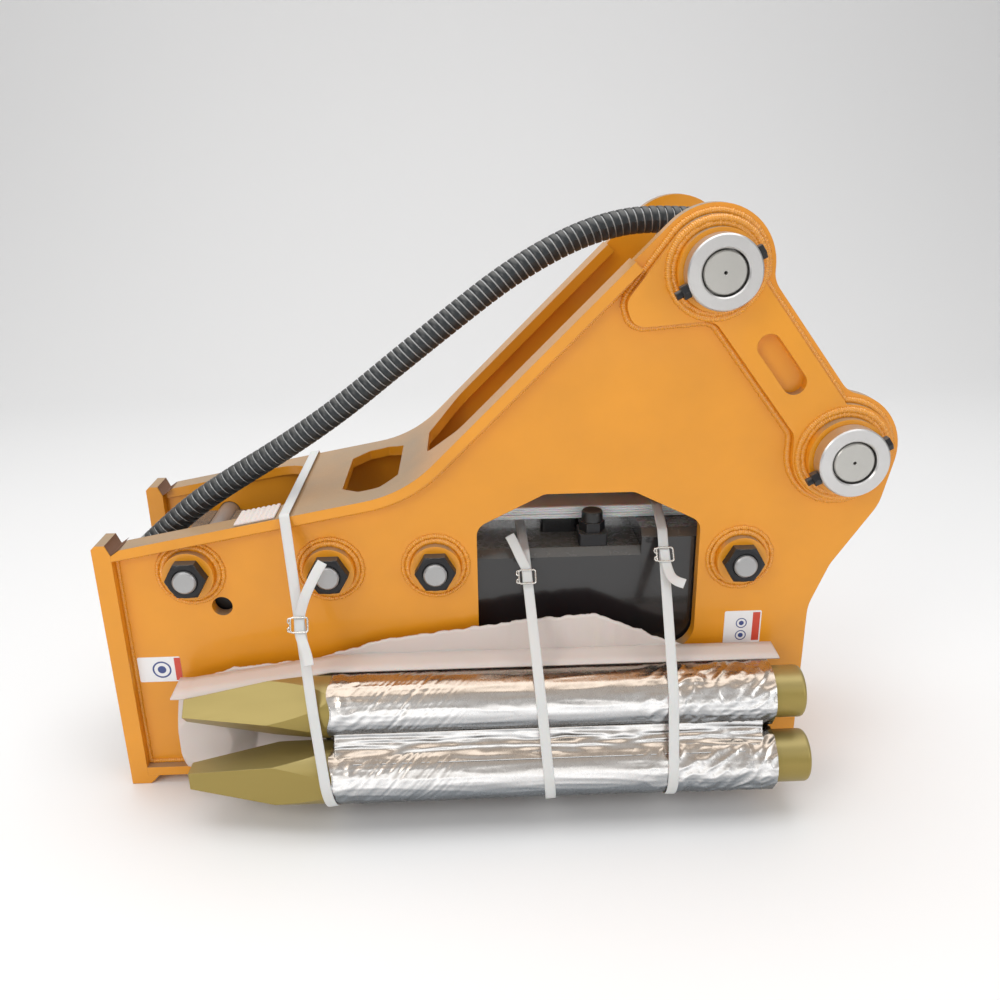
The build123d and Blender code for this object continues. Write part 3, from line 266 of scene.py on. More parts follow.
def surface_group():
    """Colour mottling, worn edges, settled dust, roughness and fine bump for hard surfaces."""
    group = bpy.data.node_groups.new("surface", "ShaderNodeTree")
    for name, kind, value in (("Colour", "NodeSocketColor", (0.5, 0.5, 0.5, 1)),
                              ("Worn", "NodeSocketColor", (0.5, 0.5, 0.5, 1)),
                              ("Dust Colour", "NodeSocketColor", (0.62, 0.55, 0.46, 1)),
                              ("Edge", "NodeSocketFloat", 0.3), ("Dust", "NodeSocketFloat", 0.3),
                              ("Rough", "NodeSocketFloat", 0.4), ("Bump", "NodeSocketFloat", 0.1),
                              ("Grain", "NodeSocketFloat", 400.0), ("Radius", "NodeSocketFloat", 0.0012),
                              ("Stretch", "NodeSocketVector", (1, 1, 1))):
        socket(group, name, kind, value)
    for name, kind in (("Colour", "NodeSocketColor"), ("Rough", "NodeSocketFloat"),
                       ("Normal", "NodeSocketVector")):
        socket(group, name, kind, out=True)
    new, link = group.nodes.new, group.links.new
    enter, leave = new("NodeGroupInput"), new("NodeGroupOutput")
    coordinates = new("ShaderNodeTexCoord")
    stretch = new("ShaderNodeVectorMath")
    stretch.operation = "MULTIPLY"
    link(coordinates.outputs["Object"], stretch.inputs[0])
    link(enter.outputs["Stretch"], stretch.inputs[1])

    def noise_at(scale, detail):
        made = new("ShaderNodeTexNoise")
        made.inputs["Detail"].default_value = detail
        link(stretch.outputs[0], made.inputs["Vector"])
        if isinstance(scale, float):
            made.inputs["Scale"].default_value = scale
        else:
            link(scale, made.inputs["Scale"])
        return made.outputs["Fac"]

    def math_at(operation, a, b, clamp=False):
        made = new("ShaderNodeMath")
        made.operation, made.use_clamp = operation, clamp
        for value, slot in ((a, made.inputs[0]), (b, made.inputs[1])):
            if isinstance(value, (int, float)):
                slot.default_value = value
            else:
                link(value, slot)
        return made.outputs[0]

    def mix_at(factor, a, b):
        made = new("ShaderNodeMix")
        made.data_type = "RGBA"
        link(factor, made.inputs[0])
        for value, slot in ((a, made.inputs[6]), (b, made.inputs[7])):
            if isinstance(value, tuple):
                slot.default_value = value
            else:
                link(value, slot)
        return made.outputs[2]

    broad, fine = noise_at(9.0, 4.0), noise_at(enter.outputs["Grain"], 3.0)
    bevel = new("ShaderNodeBevel")
    bevel.samples = 4
    link(enter.outputs["Radius"], bevel.inputs["Radius"])
    geometry = new("ShaderNodeNewGeometry")
    dot = new("ShaderNodeVectorMath")
    dot.operation = "DOT_PRODUCT"
    link(bevel.outputs[0], dot.inputs[0])
    link(geometry.outputs["Normal"], dot.inputs[1])
    edge = math_at("MULTIPLY", math_at("SUBTRACT", 0.985, dot.outputs["Value"]), 9.0, True)
    patchy = math_at("MULTIPLY", math_at("SUBTRACT", fine, 0.35), 3.0, True)
    edge = math_at("MULTIPLY", math_at("MULTIPLY", edge, patchy), enter.outputs["Edge"])
    split = new("ShaderNodeSeparateXYZ")
    link(coordinates.outputs["Normal"], split.inputs[0])
    upward = math_at("MULTIPLY", math_at("SUBTRACT", split.outputs["Z"], 0.45), 2.4, True)
    patchy = math_at("ADD", math_at("MULTIPLY", broad, 0.6), 0.55, True)
    dust = math_at("MULTIPLY", math_at("MULTIPLY", upward, patchy), enter.outputs["Dust"])
    shade = math_at("ADD", math_at("MULTIPLY", broad, 0.24), 0.88)
    tint = new("ShaderNodeVectorMath")
    tint.operation = "MULTIPLY"
    link(enter.outputs["Colour"], tint.inputs[0])
    link(shade, tint.inputs[1])
    colour = mix_at(edge, tint.outputs[0], enter.outputs["Worn"])
    link(mix_at(dust, colour, enter.outputs["Dust Colour"]), leave.inputs["Colour"])
    rough = math_at("ADD", enter.outputs["Rough"], math_at("MULTIPLY", math_at("SUBTRACT", fine, 0.5), 0.18))
    link(math_at("ADD", rough, math_at("MULTIPLY", dust, 0.25), True), leave.inputs["Rough"])
    bump = new("ShaderNodeBump")
    bump.inputs["Distance"].default_value = 0.0006
    link(enter.outputs["Bump"], bump.inputs["Strength"])
    link(fine, bump.inputs["Height"])
    link(bevel.outputs[0], bump.inputs["Normal"])
    link(bump.outputs[0], leave.inputs["Normal"])
    return group


SURFACE = surface_group()


def hard(name, colour, worn, rough, metal=0.0, edge=0.3, dust=0.2, bump=0.1, grain=400.0, coat=0.0,
         stretch=(1, 1, 1), radius=0.0012, dust_colour=(0.50, 0.46, 0.40, 1)):
    material = bpy.data.materials.new(name)
    material.use_nodes = True
    tree = material.node_tree
    shader = tree.nodes["Principled BSDF"]
    group = tree.nodes.new("ShaderNodeGroup")
    group.node_tree = SURFACE
    for key, value in (("Colour", (*colour, 1)), ("Worn", (*worn, 1)), ("Edge", edge), ("Dust", dust),
                       ("Rough", rough), ("Bump", bump), ("Grain", grain), ("Radius", radius),
                       ("Stretch", stretch), ("Dust Colour", dust_colour)):
        group.inputs[key].default_value = value
    shader.inputs["Metallic"].default_value = metal
    shader.inputs["Coat Weight"].default_value = coat
    shader.inputs["Coat Roughness"].default_value = 0.08
    tree.links.new(group.outputs["Colour"], shader.inputs["Base Color"])
    tree.links.new(group.outputs["Rough"], shader.inputs["Roughness"])
    tree.links.new(group.outputs["Normal"], shader.inputs["Normal"])
    return material


def soft(name, colour, rough, wave=None, bump=0.3, distance=0.0004, metal=0.0, sheen=0.0, glow=0.0,
         second=None, coordinates="UV"):
    """Material with an optional pattern of two crossing waves, given as (scale, scale)."""
    material = bpy.data.materials.new(name)
    material.use_nodes = True
    tree = material.node_tree
    shader = tree.nodes["Principled BSDF"]
    shader.inputs["Base Color"].default_value = (*colour, 1)
    shader.inputs["Roughness"].default_value = rough
    shader.inputs["Metallic"].default_value = metal
    shader.inputs["Sheen Weight"].default_value = sheen
    shader.inputs["Subsurface Weight"].default_value = glow
    shader.inputs["Subsurface Scale"].default_value = 0.01
    if wave:
        new, link = tree.nodes.new, tree.links.new
        where = new("ShaderNodeTexCoord")
        heights = []
        for axis, scale in zip("XY", wave):
            made = new("ShaderNodeTexWave")
            made.wave_type, made.bands_direction, made.wave_profile = "BANDS", axis, "SIN"
            made.inputs["Scale"].default_value = scale
            made.inputs["Distortion"].default_value = 0.6
            made.inputs["Detail Scale"].default_value = 2.0
            link(where.outputs[coordinates], made.inputs["Vector"])
            heights.append(made.outputs["Fac"])
        both = new("ShaderNodeMath")
        both.operation = "MULTIPLY"
        link(heights[0], both.inputs[0])
        link(heights[1], both.inputs[1])
        raised = new("ShaderNodeBump")
        raised.inputs["Strength"].default_value = bump
        raised.inputs["Distance"].default_value = distance
        link(both.outputs[0], raised.inputs["Height"])
        link(raised.outputs[0], shader.inputs["Normal"])
        if second:
            mix = new("ShaderNodeMix")
            mix.data_type = "RGBA"
            mix.inputs[6].default_value = (*colour, 1)
            mix.inputs[7].default_value = (*second, 1)
            link(both.outputs[0], mix.inputs[0])
            link(mix.outputs[2], shader.inputs["Base Color"])
    return material


def turned(name, centre, colour, rough):
    """Machined steel with fine rings round a pin's axis, given by its x and z in metres."""
    material = hard(name, colour, (0.8, 0.8, 0.78), rough, metal=0.9, edge=0.4, dust=0.05, bump=0.05)
    tree = material.node_tree
    new, link = tree.nodes.new, tree.links.new
    where, move, size = new("ShaderNodeTexCoord"), new("ShaderNodeVectorMath"), new("ShaderNodeVectorMath")
    move.operation, size.operation = "MULTIPLY_ADD", "LENGTH"
    move.inputs[1].default_value = (1, 0, 1)
    move.inputs[2].default_value = (-centre[0], 0, -centre[1])
    link(where.outputs["Object"], move.inputs[0])
    link(move.outputs[0], size.inputs[0])
    rings = new("ShaderNodeTexNoise")
    rings.noise_dimensions = "1D"
    rings.inputs["Scale"].default_value = 900.0
    rings.inputs["Detail"].default_value = 4.0
    link(size.outputs["Value"], rings.inputs["W"])
    raised = new("ShaderNodeBump")
    raised.inputs["Strength"].default_value = 0.35
    raised.inputs["Distance"].default_value = 0.0003
    link(rings.outputs["Fac"], raised.inputs["Height"])
    link(raised.outputs[0], tree.nodes["Principled BSDF"].inputs["Normal"])
    return material


ORANGE = (0.78, 0.305, 0.010)
MATERIALS = {
    "orange_paint": hard("orange_paint", ORANGE, (0.50, 0.22, 0.03), 0.36, edge=0.2, dust=0.97, bump=0.05,
                         grain=260.0, coat=0.25, radius=0.0016, dust_colour=(0.29, 0.23, 0.155, 1)),
    "black_paint": hard("black_paint", (0.012, 0.012, 0.013), (0.05, 0.05, 0.05), 0.22, edge=0.2, dust=0.25,
                        bump=0.05, coat=0.6, grain=120.0),
    "machined_steel": hard("machined_steel", (0.56, 0.55, 0.53), (0.8, 0.8, 0.78), 0.34, metal=0.85,
                           dust=0.1),
    "black_steel": hard("black_steel", (0.018, 0.018, 0.020), (0.16, 0.15, 0.14), 0.42, metal=0.4, edge=0.6,
                        dust=0.2, bump=0.15, radius=0.002),
    "seal_rubber": hard("seal_rubber", (0.02, 0.02, 0.02), (0.04, 0.04, 0.04), 0.6),
    "black_plastic": hard("black_plastic", (0.015, 0.015, 0.015), (0.05, 0.05, 0.05), 0.35),
    "brass": hard("brass", (0.62, 0.45, 0.16), (0.8, 0.65, 0.3), 0.3, metal=0.9),
    "buffer_plastic": hard("buffer_plastic", (0.55, 0.42, 0.15), (0.6, 0.5, 0.2), 0.45),
    "gold_paint": hard("gold_paint", (0.33, 0.25, 0.070), (0.60, 0.52, 0.28), 0.36, metal=0.6, edge=0.3,
                       dust=0.25, bump=0.35, grain=55.0, stretch=(0.12, 1, 1),
                       dust_colour=(0.60, 0.54, 0.32, 1)),
    "foil": hard("foil", (0.80, 0.79, 0.78), (0.9, 0.9, 0.9), 0.27, metal=1.0, edge=0.0, dust=0.0, bump=0.22,
                 grain=110.0, radius=0.0001),
    "foam": soft("foam", (0.66, 0.58, 0.54), 0.6, glow=0.15),
    "strap_webbing": soft("strap_webbing", (0.66, 0.65, 0.64), 0.5, (320.0, 500.0), 0.35, 0.0003, glow=0.1),
    "buckle_wire": hard("buckle_wire", (0.72, 0.70, 0.66), (0.85, 0.85, 0.8), 0.22, metal=1.0, edge=0.0),
    "hose_guard": hard("hose_guard", (0.016, 0.020, 0.023), (0.06, 0.065, 0.07), 0.38, edge=0.4, dust=0.12,
                       radius=0.0008),
    "hose_sleeve": soft("hose_sleeve", (0.010, 0.012, 0.020), 0.55, (260.0, 180.0), 0.8, 0.0010,
                        second=(0.07, 0.085, 0.12)),
    "decal_film": soft("decal_film", (0.85, 0.85, 0.86), 0.3),
}
HOSE_CORE = hard("hose_core", (0.62, 0.63, 0.63), (0.4, 0.4, 0.4), 0.4, edge=0.0, dust=0.0)
BOLT_END = hard("bolt_end", (0.40, 0.40, 0.40), (0.8, 0.8, 0.8), 0.36, metal=0.7, edge=0.3, dust=0.0,
                bump=0.25, grain=700.0)
PIN_END = hard("pin_end", (0.50, 0.49, 0.46), (0.75, 0.74, 0.7), 0.32, metal=0.75, edge=0.5, dust=0.1,
               bump=0.2, grain=90.0)
# Painted light on the foil by facing: painted shade underneath, a painted highlight band and a warmer painted
# reflection on top.
FOIL_PAINTED_LIGHT_STOPS = ((0.12, (0.14, 0.15, 0.16)), (0.36, (0.26, 0.28, 0.30)), (0.50, (0.52, 0.53, 0.54)),
               (0.62, (0.95, 0.95, 0.95)), (0.74, (0.74, 0.71, 0.68)), (0.88, (0.46, 0.38, 0.31)))
FOIL_PAINTED_SHADE_BOTTOM, FOIL_PAINTED_REFLECTION_TOP = (0.14, 0.14, 0.15, 1), (0.50, 0.44, 0.38, 1)


WELD = hard("weld_paint", (0.80, 0.32, 0.015), (0.95, 0.62, 0.20), 0.26, edge=0.25, dust=0.12, bump=0.3,
            grain=420.0, coat=0.7)
# Bundle foam: its own near-white colour, with a strong glow that is painted light lifting it out of the shade
# under the top plate.
BUNDLE_FOAM_PAINTED_LIGHT = soft("bundle_foam_painted_light", (0.82, 0.82, 0.83), 0.6, glow=0.5)
# Dark brown strip laid in the V-groove by the front bar: painted shade in the groove.
GROOVE_PAINTED_SHADE = hard("groove_painted_shade", (0.15, 0.065, 0.030), (0.25, 0.12, 0.06), 0.7, bump=0.5, dust=0.0)
MARK_RED, MARK_BLUE = soft("mark_red", (0.62, 0.07, 0.04), 0.35), soft("mark_blue", (0.05, 0.08, 0.25), 0.35)
COLLARS = {"upper_pin_collars": turned("upper_collar", (0.886, 0.5845), (0.62, 0.61, 0.60), 0.33),
           "lower_pin_collars": turned("lower_collar", (1.095, 0.3095), (0.62, 0.61, 0.60), 0.33)}


def paint_foil_light_by_facing():
    """Foil's tint by how far it faces up, from downward at 0 to upward at 1: painted shade underneath, a
    painted highlight band above the middle and a warmer painted reflection on top.
    """
    tree = MATERIALS["foil"].node_tree
    new, link = tree.nodes.new, tree.links.new
    facing, split = new("ShaderNodeTexCoord"), new("ShaderNodeSeparateXYZ")
    ramp, halve = new("ShaderNodeValToRGB"), new("ShaderNodeMath")
    for spot, shade in FOIL_PAINTED_LIGHT_STOPS:
        ramp.color_ramp.elements.new(spot).color = (*shade, 1)
    ramp.color_ramp.elements[0].color = FOIL_PAINTED_SHADE_BOTTOM
    ramp.color_ramp.elements[-1].color = FOIL_PAINTED_REFLECTION_TOP
    halve.operation = "MULTIPLY_ADD"
    halve.inputs[1].default_value, halve.inputs[2].default_value = 0.5, 0.5
    link(facing.outputs["Normal"], split.inputs[0])
    link(split.outputs["Z"], halve.inputs[0])
    link(halve.outputs[0], ramp.inputs[0])
    link(ramp.outputs[0], tree.nodes["Principled BSDF"].inputs["Base Color"])


def paint_nodes():
    for part in frame["record"]["subparts"]:
        node = NODES[part["node"]]
        node.data.materials.clear()
        node.data.materials.append(MATERIALS[part["material_slot"]])
    # Retaining pins and plugs take black plastic so the retainer access hole reads black: painted shade in
    # the hole.
    for name, material in (("side_bolts", BOLT_END), ("upper_pin", PIN_END), ("lower_pin", PIN_END),
                           ("retaining_pins", MATERIALS["black_plastic"]),
                           ("retaining_pin_plugs", MATERIALS["black_plastic"]),
                           *COLLARS.items()):
        NODES[name].data.materials[0] = material


# ---- Repeats along a path ----
def path_group():
    """Instances of a small unit along every curve, each with its Z along the curve."""
    group = bpy.data.node_groups.new("along_path", "GeometryNodeTree")
    socket(group, "Curves", "NodeSocketGeometry")
    socket(group, "Unit", "NodeSocketObject")
    socket(group, "Spacing", "NodeSocketFloat", 0.0025)
    socket(group, "Jitter", "NodeSocketFloat", 0.1)
    socket(group, "Seed", "NodeSocketInt", 7)
    socket(group, "Material", "NodeSocketMaterial")
    socket(group, "Mesh", "NodeSocketGeometry", out=True)
    new, link = group.nodes.new, group.links.new
    enter, leave = new("NodeGroupInput"), new("NodeGroupOutput")
    spots, unit = new("GeometryNodeCurveToPoints"), new("GeometryNodeObjectInfo")
    size = new("FunctionNodeRandomValue")
    spots.mode = "LENGTH"
    spread = []
    for operation in ("SUBTRACT", "ADD"):
        made = new("ShaderNodeMath")
        made.operation = operation
        made.inputs[0].default_value = 1.0
        link(enter.outputs["Jitter"], made.inputs[1])
        spread.append(made.outputs[0])
    size.data_type = "FLOAT"
    link(spread[0], size.inputs[2])
    link(spread[1], size.inputs[3])
    link(enter.outputs["Seed"], size.inputs["Seed"])
    copies, real = new("GeometryNodeInstanceOnPoints"), new("GeometryNodeRealizeInstances")
    paint = new("GeometryNodeSetMaterial")
    link(enter.outputs["Curves"], spots.inputs["Curve"])
    link(enter.outputs["Spacing"], spots.inputs["Length"])
    link(enter.outputs["Unit"], unit.inputs["Object"])
    link(spots.outputs["Points"], copies.inputs["Points"])
    link(spots.outputs["Rotation"], copies.inputs["Rotation"])
    link(unit.outputs["Geometry"], copies.inputs["Instance"])
    link(size.outputs[1], copies.inputs["Scale"])
    link(copies.outputs[0], real.inputs[0])
    link(real.outputs[0], paint.inputs["Geometry"])
    link(enter.outputs["Material"], paint.inputs["Material"])
    link(paint.outputs[0], leave.inputs[0])
    return group


ALONG = path_group()


def curve_object(name, paths, closed):
    data = bpy.data.curves.new(name, "CURVE")
    data.dimensions = "3D"
    for path in paths:
        spline = data.splines.new("POLY")
        spline.points.add(len(path) - 1)
        spline.points.foreach_set("co", np.hstack([path, np.ones((len(path), 1))]).ravel())
        spline.use_cyclic_u = closed
    made = bpy.data.objects.new(name, data)
    bpy.context.scene.collection.objects.link(made)
    return made


def repeat(name, paths, closed, unit, spacing, jitter, material, slot, seed=7):
    base = curve_object(name + "_path", paths, closed)
    modifier = base.modifiers.new("along", "NODES")
    modifier.node_group = ALONG
    values = {"Unit": unit, "Spacing": spacing * MM, "Jitter": jitter, "Seed": seed, "Material": material}
    for item in ALONG.interface.items_tree:
        if item.in_out == "INPUT" and item.name in values:
            modifier[item.identifier] = values[item.name]
    bpy.context.view_layer.update()
    mesh = bpy.data.meshes.new_from_object(base.evaluated_get(bpy.context.evaluated_depsgraph_get()))
    mesh.polygons.foreach_set("use_smooth", [True] * len(mesh.polygons))
    bpy.data.objects.remove(base)
    piece = bpy.data.objects.new(name, mesh)
    bpy.context.scene.collection.objects.link(piece)
    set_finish(piece, slot)
    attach(piece, BODY)
    return piece


def ripple(name, radius, length):
    """One scale of a weld bead: an egg whose short axis lies along the bead."""
    made = bmesh.new()
    bmesh.ops.create_uvsphere(made, u_segments=8, v_segments=5, radius=1.0)
    bmesh.ops.scale(made, vec=(radius * MM, radius * MM, length * MM), verts=made.verts)
    mesh = bpy.data.meshes.new(name)
    made.to_mesh(mesh)
    made.free()
    unit = bpy.data.objects.new(name, mesh)
    bpy.context.scene.collection.objects.link(unit)
    return unit


def straight(start, end, step=6.0):
    return resample(np.array([H(*start), H(*end)]), step * MM)


def top_seam(y, depth=19.0):
    """Line just under the top plate, from the front bar to the plate's end."""
    slope, head = math.radians(10.3), math.radians(44.6)
    run, out = np.array([math.cos(head), math.sin(head)]), np.array([-math.sin(head), math.cos(head)])
    end = np.array(UPPER_PIN) + out * (88.0 - depth) - run * 73.0
    start = np.array([30.0, 420.0 - depth / math.cos(slope) + 2 * math.tan(slope)])
    way = np.array([math.cos(slope), math.sin(slope)])
    across = np.array([-run[1], run[0]])
    corner = start + way * ((end - start) @ across / (way @ across))
    reach = (200.0 + depth) * math.tan((head - slope) / 2)
    centre = corner - way * reach + np.array([-way[1], way[0]]) * (200.0 + depth)
    turns = np.linspace(slope, head, 24)
    arc = [centre + (200.0 + depth) * np.array([math.sin(t), -math.cos(t)]) for t in turns]
    return resample(np.array([H(p[0], y, p[1]) for p in (start, *arc, end)]), 6 * MM)


def build_welds():
    big, small = ripple("ripple_big", 6.0, 3.0), ripple("ripple_small", 4.2, 2.6)
    paint = WELD
    for side, word in ((-1, "near"), (1, "far")):
        face, outer = side * PLATE_OUT, side * HALF
        bolts = [(x, z) for x in BOLT_SPOTS for z in BOLT_ROWS]
        inner = [circle(x, face, z, 42.5) for x, z in bolts]
        wider = [circle(x, face, z, 50.5) for x, z in bolts]
        repeat(f"boss_welds_{word}", inner, True, big, 3.1, 0.1, paint, "orange_paint", 3)
        repeat(f"boss_weld_toes_{word}", wider, True, small, 3.4, 0.16, paint, "orange_paint", 4)
        pins = [circle(x, outer, z, r) for x, z in (UPPER_PIN, LOWER_PIN) for r in (61.0, 68.0)]
        repeat(f"pin_boss_welds_{word}", pins, True, big, 3.1, 0.1, paint, "orange_paint", 5)
        loops = flat_outlines(f"{word}_head_doubler", HALF, side)
        outline = grown(loops[0], 3.0)
        outline[:, 1] = face * MM
        slot_loop = grown(sorted(loops, key=lambda p: abs(np.ptp(p[:, 0]) - 0.08))[0], -3.5)
        slot_loop[:, 1] = face * MM
        inside = grown(slot_loop, -6.0)
        repeat(f"doubler_welds_{word}", [outline, slot_loop, inside], True, big, 3.1, 0.1, paint,
               "orange_paint", 6)
        lines = [straight((30, face, 34), (30, face, 404)), straight((30, face, 33), (1112, face, 33)),
                 top_seam(face)]
        repeat(f"seam_welds_{word}", lines, False, small, 3.2, 0.12, paint, "orange_paint", 8)
    for unit in (big, small):
        bpy.data.objects.remove(unit)


# ---- Hoses ----
SUPPLY_ROUTE = [(22, -60, 157.5), (80, -56, 208.5), (150, -51, 253.5), (245, -45, 307.5), (340, -38, 369.5),
                (428, -32, 437.5), (516, -25, 503.5), (600, -18, 564.5), (688, -12, 612.5), (760, -7, 636.5),
                (825, -3, 643.5), (888, 0, 638.5)]
RETURN_ROUTE = [(560, -8, 218.5), (632, -3, 217.6), (712, 2, 218.4), (790, 3, 217.6), (862, -2, 218.3)]


def cord(name, route, radius, material, slot):
    data = bpy.data.curves.new(name, "CURVE")
    data.dimensions, data.bevel_depth, data.bevel_resolution, data.resolution_u = "3D", radius * MM, 6, 12
    data.use_fill_caps = True
    spline = data.splines.new("NURBS")
    spline.points.add(len(route) - 1)
    for point, spot in zip(spline.points, route):
        point.co = (*(c * MM for c in spot), 1)
    spline.order_u = 3
    spline.use_endpoint_u = True
    piece = bpy.data.objects.new(name, data)
    bpy.context.scene.collection.objects.link(piece)
    data.materials.append(material)
    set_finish(piece, slot)
    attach(piece, BODY)
    return piece


def centreline(piece):
    """Points along a NURBS cord, from a copy of it without its thickness."""
    data = piece.data.copy()
    data.bevel_depth = 0.0
    bare = bpy.data.objects.new("bare", data)
    bpy.context.scene.collection.objects.link(bare)
    bpy.context.view_layer.update()
    mesh = bpy.data.meshes.new_from_object(bare.evaluated_get(bpy.context.evaluated_depsgraph_get()))
    points = np.array([v.co for v in mesh.vertices])
    bpy.data.objects.remove(bare)
    return points


def guard_turn(name, inner, outer, pitch, width, steps=20):
    """One turn of the flat spiral guard about Z."""
    rings = []
    for k in range(steps + 1):
        turn = 2 * math.pi * k / steps
        rise = pitch * (k / steps - 0.5)
        ring = []
        for r, dz in ((inner, -width / 2), (outer - 0.7, -width / 2), (outer, -width / 2 + 0.9),
                      (outer, width / 2 - 0.9), (outer - 0.7, width / 2), (inner, width / 2)):
            ring.append((r * math.cos(turn) * MM, r * math.sin(turn) * MM, (rise + dz) * MM))
        rings.append(ring)
    rings = np.array(rings)
    n, m = rings.shape[:2]
    faces = [(i * m + j, (i + 1) * m + j, (i + 1) * m + (j + 1) % m, i * m + (j + 1) % m)
             for i in range(n - 1) for j in range(m)]
    return add_mesh(name, rings.reshape(-1, 3), faces, None)


def build_hoses():
    supply = cord("supply_hose_core", SUPPLY_ROUTE, 17.6, HOSE_CORE, "hose_guard")
    line = centreline(supply)
    unit = guard_turn("guard_turn", 16.6, 20.0, 11.6, 9.6)
    guard = repeat("supply_hose_guard", [line], False, unit, 11.6, 0.0, MATERIALS["hose_guard"], "hose_guard")
    bpy.data.objects.remove(unit)
    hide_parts("supply_hose")
    sleeve = cord("return_hose_sleeve", RETURN_ROUTE, 15.0, MATERIALS["hose_sleeve"], "hose_sleeve")
    line = centreline(sleeve)
    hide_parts("return_hose")


# ---- Foil wraps ----
FOIL_SPAN, FOIL_RADIUS, BRIDGE_OUT = (354.0, 1030.0), 48.1, 48.9


def foil_bridge():
    """Loose foil folded along the valley between the two wraps."""
    (low_y, low_z, _), (high_y, high_z, _) = CHISELS
    leave, meet = math.radians(208), math.radians(136)
    start = np.array([high_y + BRIDGE_OUT * math.cos(leave), high_z + BRIDGE_OUT * math.sin(leave)])
    end = np.array([low_y + BRIDGE_OUT * math.cos(meet), low_z + BRIDGE_OUT * math.sin(meet)])
    across = np.linspace(0, 1, 26)
    x = np.linspace(360.0, 1012.0, 330)
    gx, gt = np.meshgrid(x, across, indexing="ij")
    line = start + gt[..., None] * (end - start)
    folds = smooth_noise(np.stack([gx.ravel() * 0.012, gt.ravel() * 7.0, gx.ravel() * 0.004], 1), 1.0, 3)
    wrinkle = smooth_noise(np.stack([gx.ravel() * 0.05, gt.ravel() * 4.0, gx.ravel() * 0], 1), 1.0, 8)
    sink = np.sin(gt * math.pi) * (6.5 + 4.5 * folds.reshape(gx.shape) + 1.5 * wrinkle.reshape(gx.shape))
    y, z = line[..., 0] + sink, line[..., 1] - 0.25 * sink
    grids = [np.stack([(gx - SETBACK) * MM, (y + shift) * MM, (z - AXIS_HEIGHT) * MM], -1)
             for shift in (0.0, 0.4)]
    rings = np.concatenate([grids[0], grids[1][:, ::-1]], 1)
    return skin("bridge", rings, MATERIALS["foil"], "foil", caps=True)


def build_foil():
    count, around = 420, 176
    x = np.linspace(*FOIL_SPAN, count)
    turn = np.linspace(0, 2 * math.pi, around, endpoint=False)
    for number, (axis_y, height, tip) in enumerate(CHISELS):
        gx, gt = np.meshgrid(x, turn, indexing="ij")
        flat = np.stack([gx.ravel(), (gt * 49).ravel()], 1)
        soft_y, soft_z = 49 * np.cos(gt).ravel(), 49 * np.sin(gt).ravel()
        spots = np.stack([flat[:, 0] * 0.35, soft_y, soft_z], 1)
        long_folds = smooth_noise(spots * np.array([0.25, 1, 1]), 0.10, 1 + number)
        skewed = np.stack([flat[:, 0] + 0.6 * flat[:, 1], soft_y, soft_z], 1)
        crumple = smooth_noise(skewed, 0.042, 5 + number)
        fine = smooth_noise(np.stack([flat[:, 0], soft_y, soft_z], 1), 0.21, 9 + number)
        slant = flat[:, 0] * 0.9 + flat[:, 1] * 0.8
        bands = np.stack([slant * 0.12, flat[:, 1] * 0.010, flat[:, 0] * 0.01], 1)
        diagonal = smooth_noise(bands, 1.0, 11 + number)
        ends = np.clip((flat[:, 0] - 800) / 90, 0, 1) + 0.6 * np.clip((430 - flat[:, 0]) / 60, 0, 1)
        left = np.clip(1 - np.abs(flat[:, 0] - 470) / 110, 0, 1)
        ridge = lambda v: 1 - np.abs(v) * 2.4
        lift = 0.45 * ridge(long_folds) + (0.10 + 1.5 * ends) * 1.1 * ridge(crumple)
        lift = lift + (0.04 + 0.16 * ends) * ridge(fine)
        lift = lift + 1.0 * left * ridge(diagonal)
        radius = FOIL_RADIUS + np.clip(lift, 0.0, 3.0).reshape(gx.shape)
        wave_x = gx + 3.0 * np.where(gx < 356, np.sin(gt * 5), 0)
        rings = np.stack([(wave_x - SETBACK) * MM, (axis_y + radius * np.cos(gt)) * MM,
                          (height - AXIS_HEIGHT + radius * np.sin(gt)) * MM], -1)
        piece = skin(f"foil_wrap_{number + 1}", rings, MATERIALS["foil"], "foil")
        if number == 0:
            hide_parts("chisel_wraps")
        else:
            piece = joined("foil_wrap_2", [piece, foil_bridge()])


# ---- Foam ----
FOAM_TOP = [(100, 188), (193, 217), (322, 228), (431, 259), (583, 277), (654, 287), (768, 294), (842, 261),
            (878, 243), (929, 229), (1049, 228)]


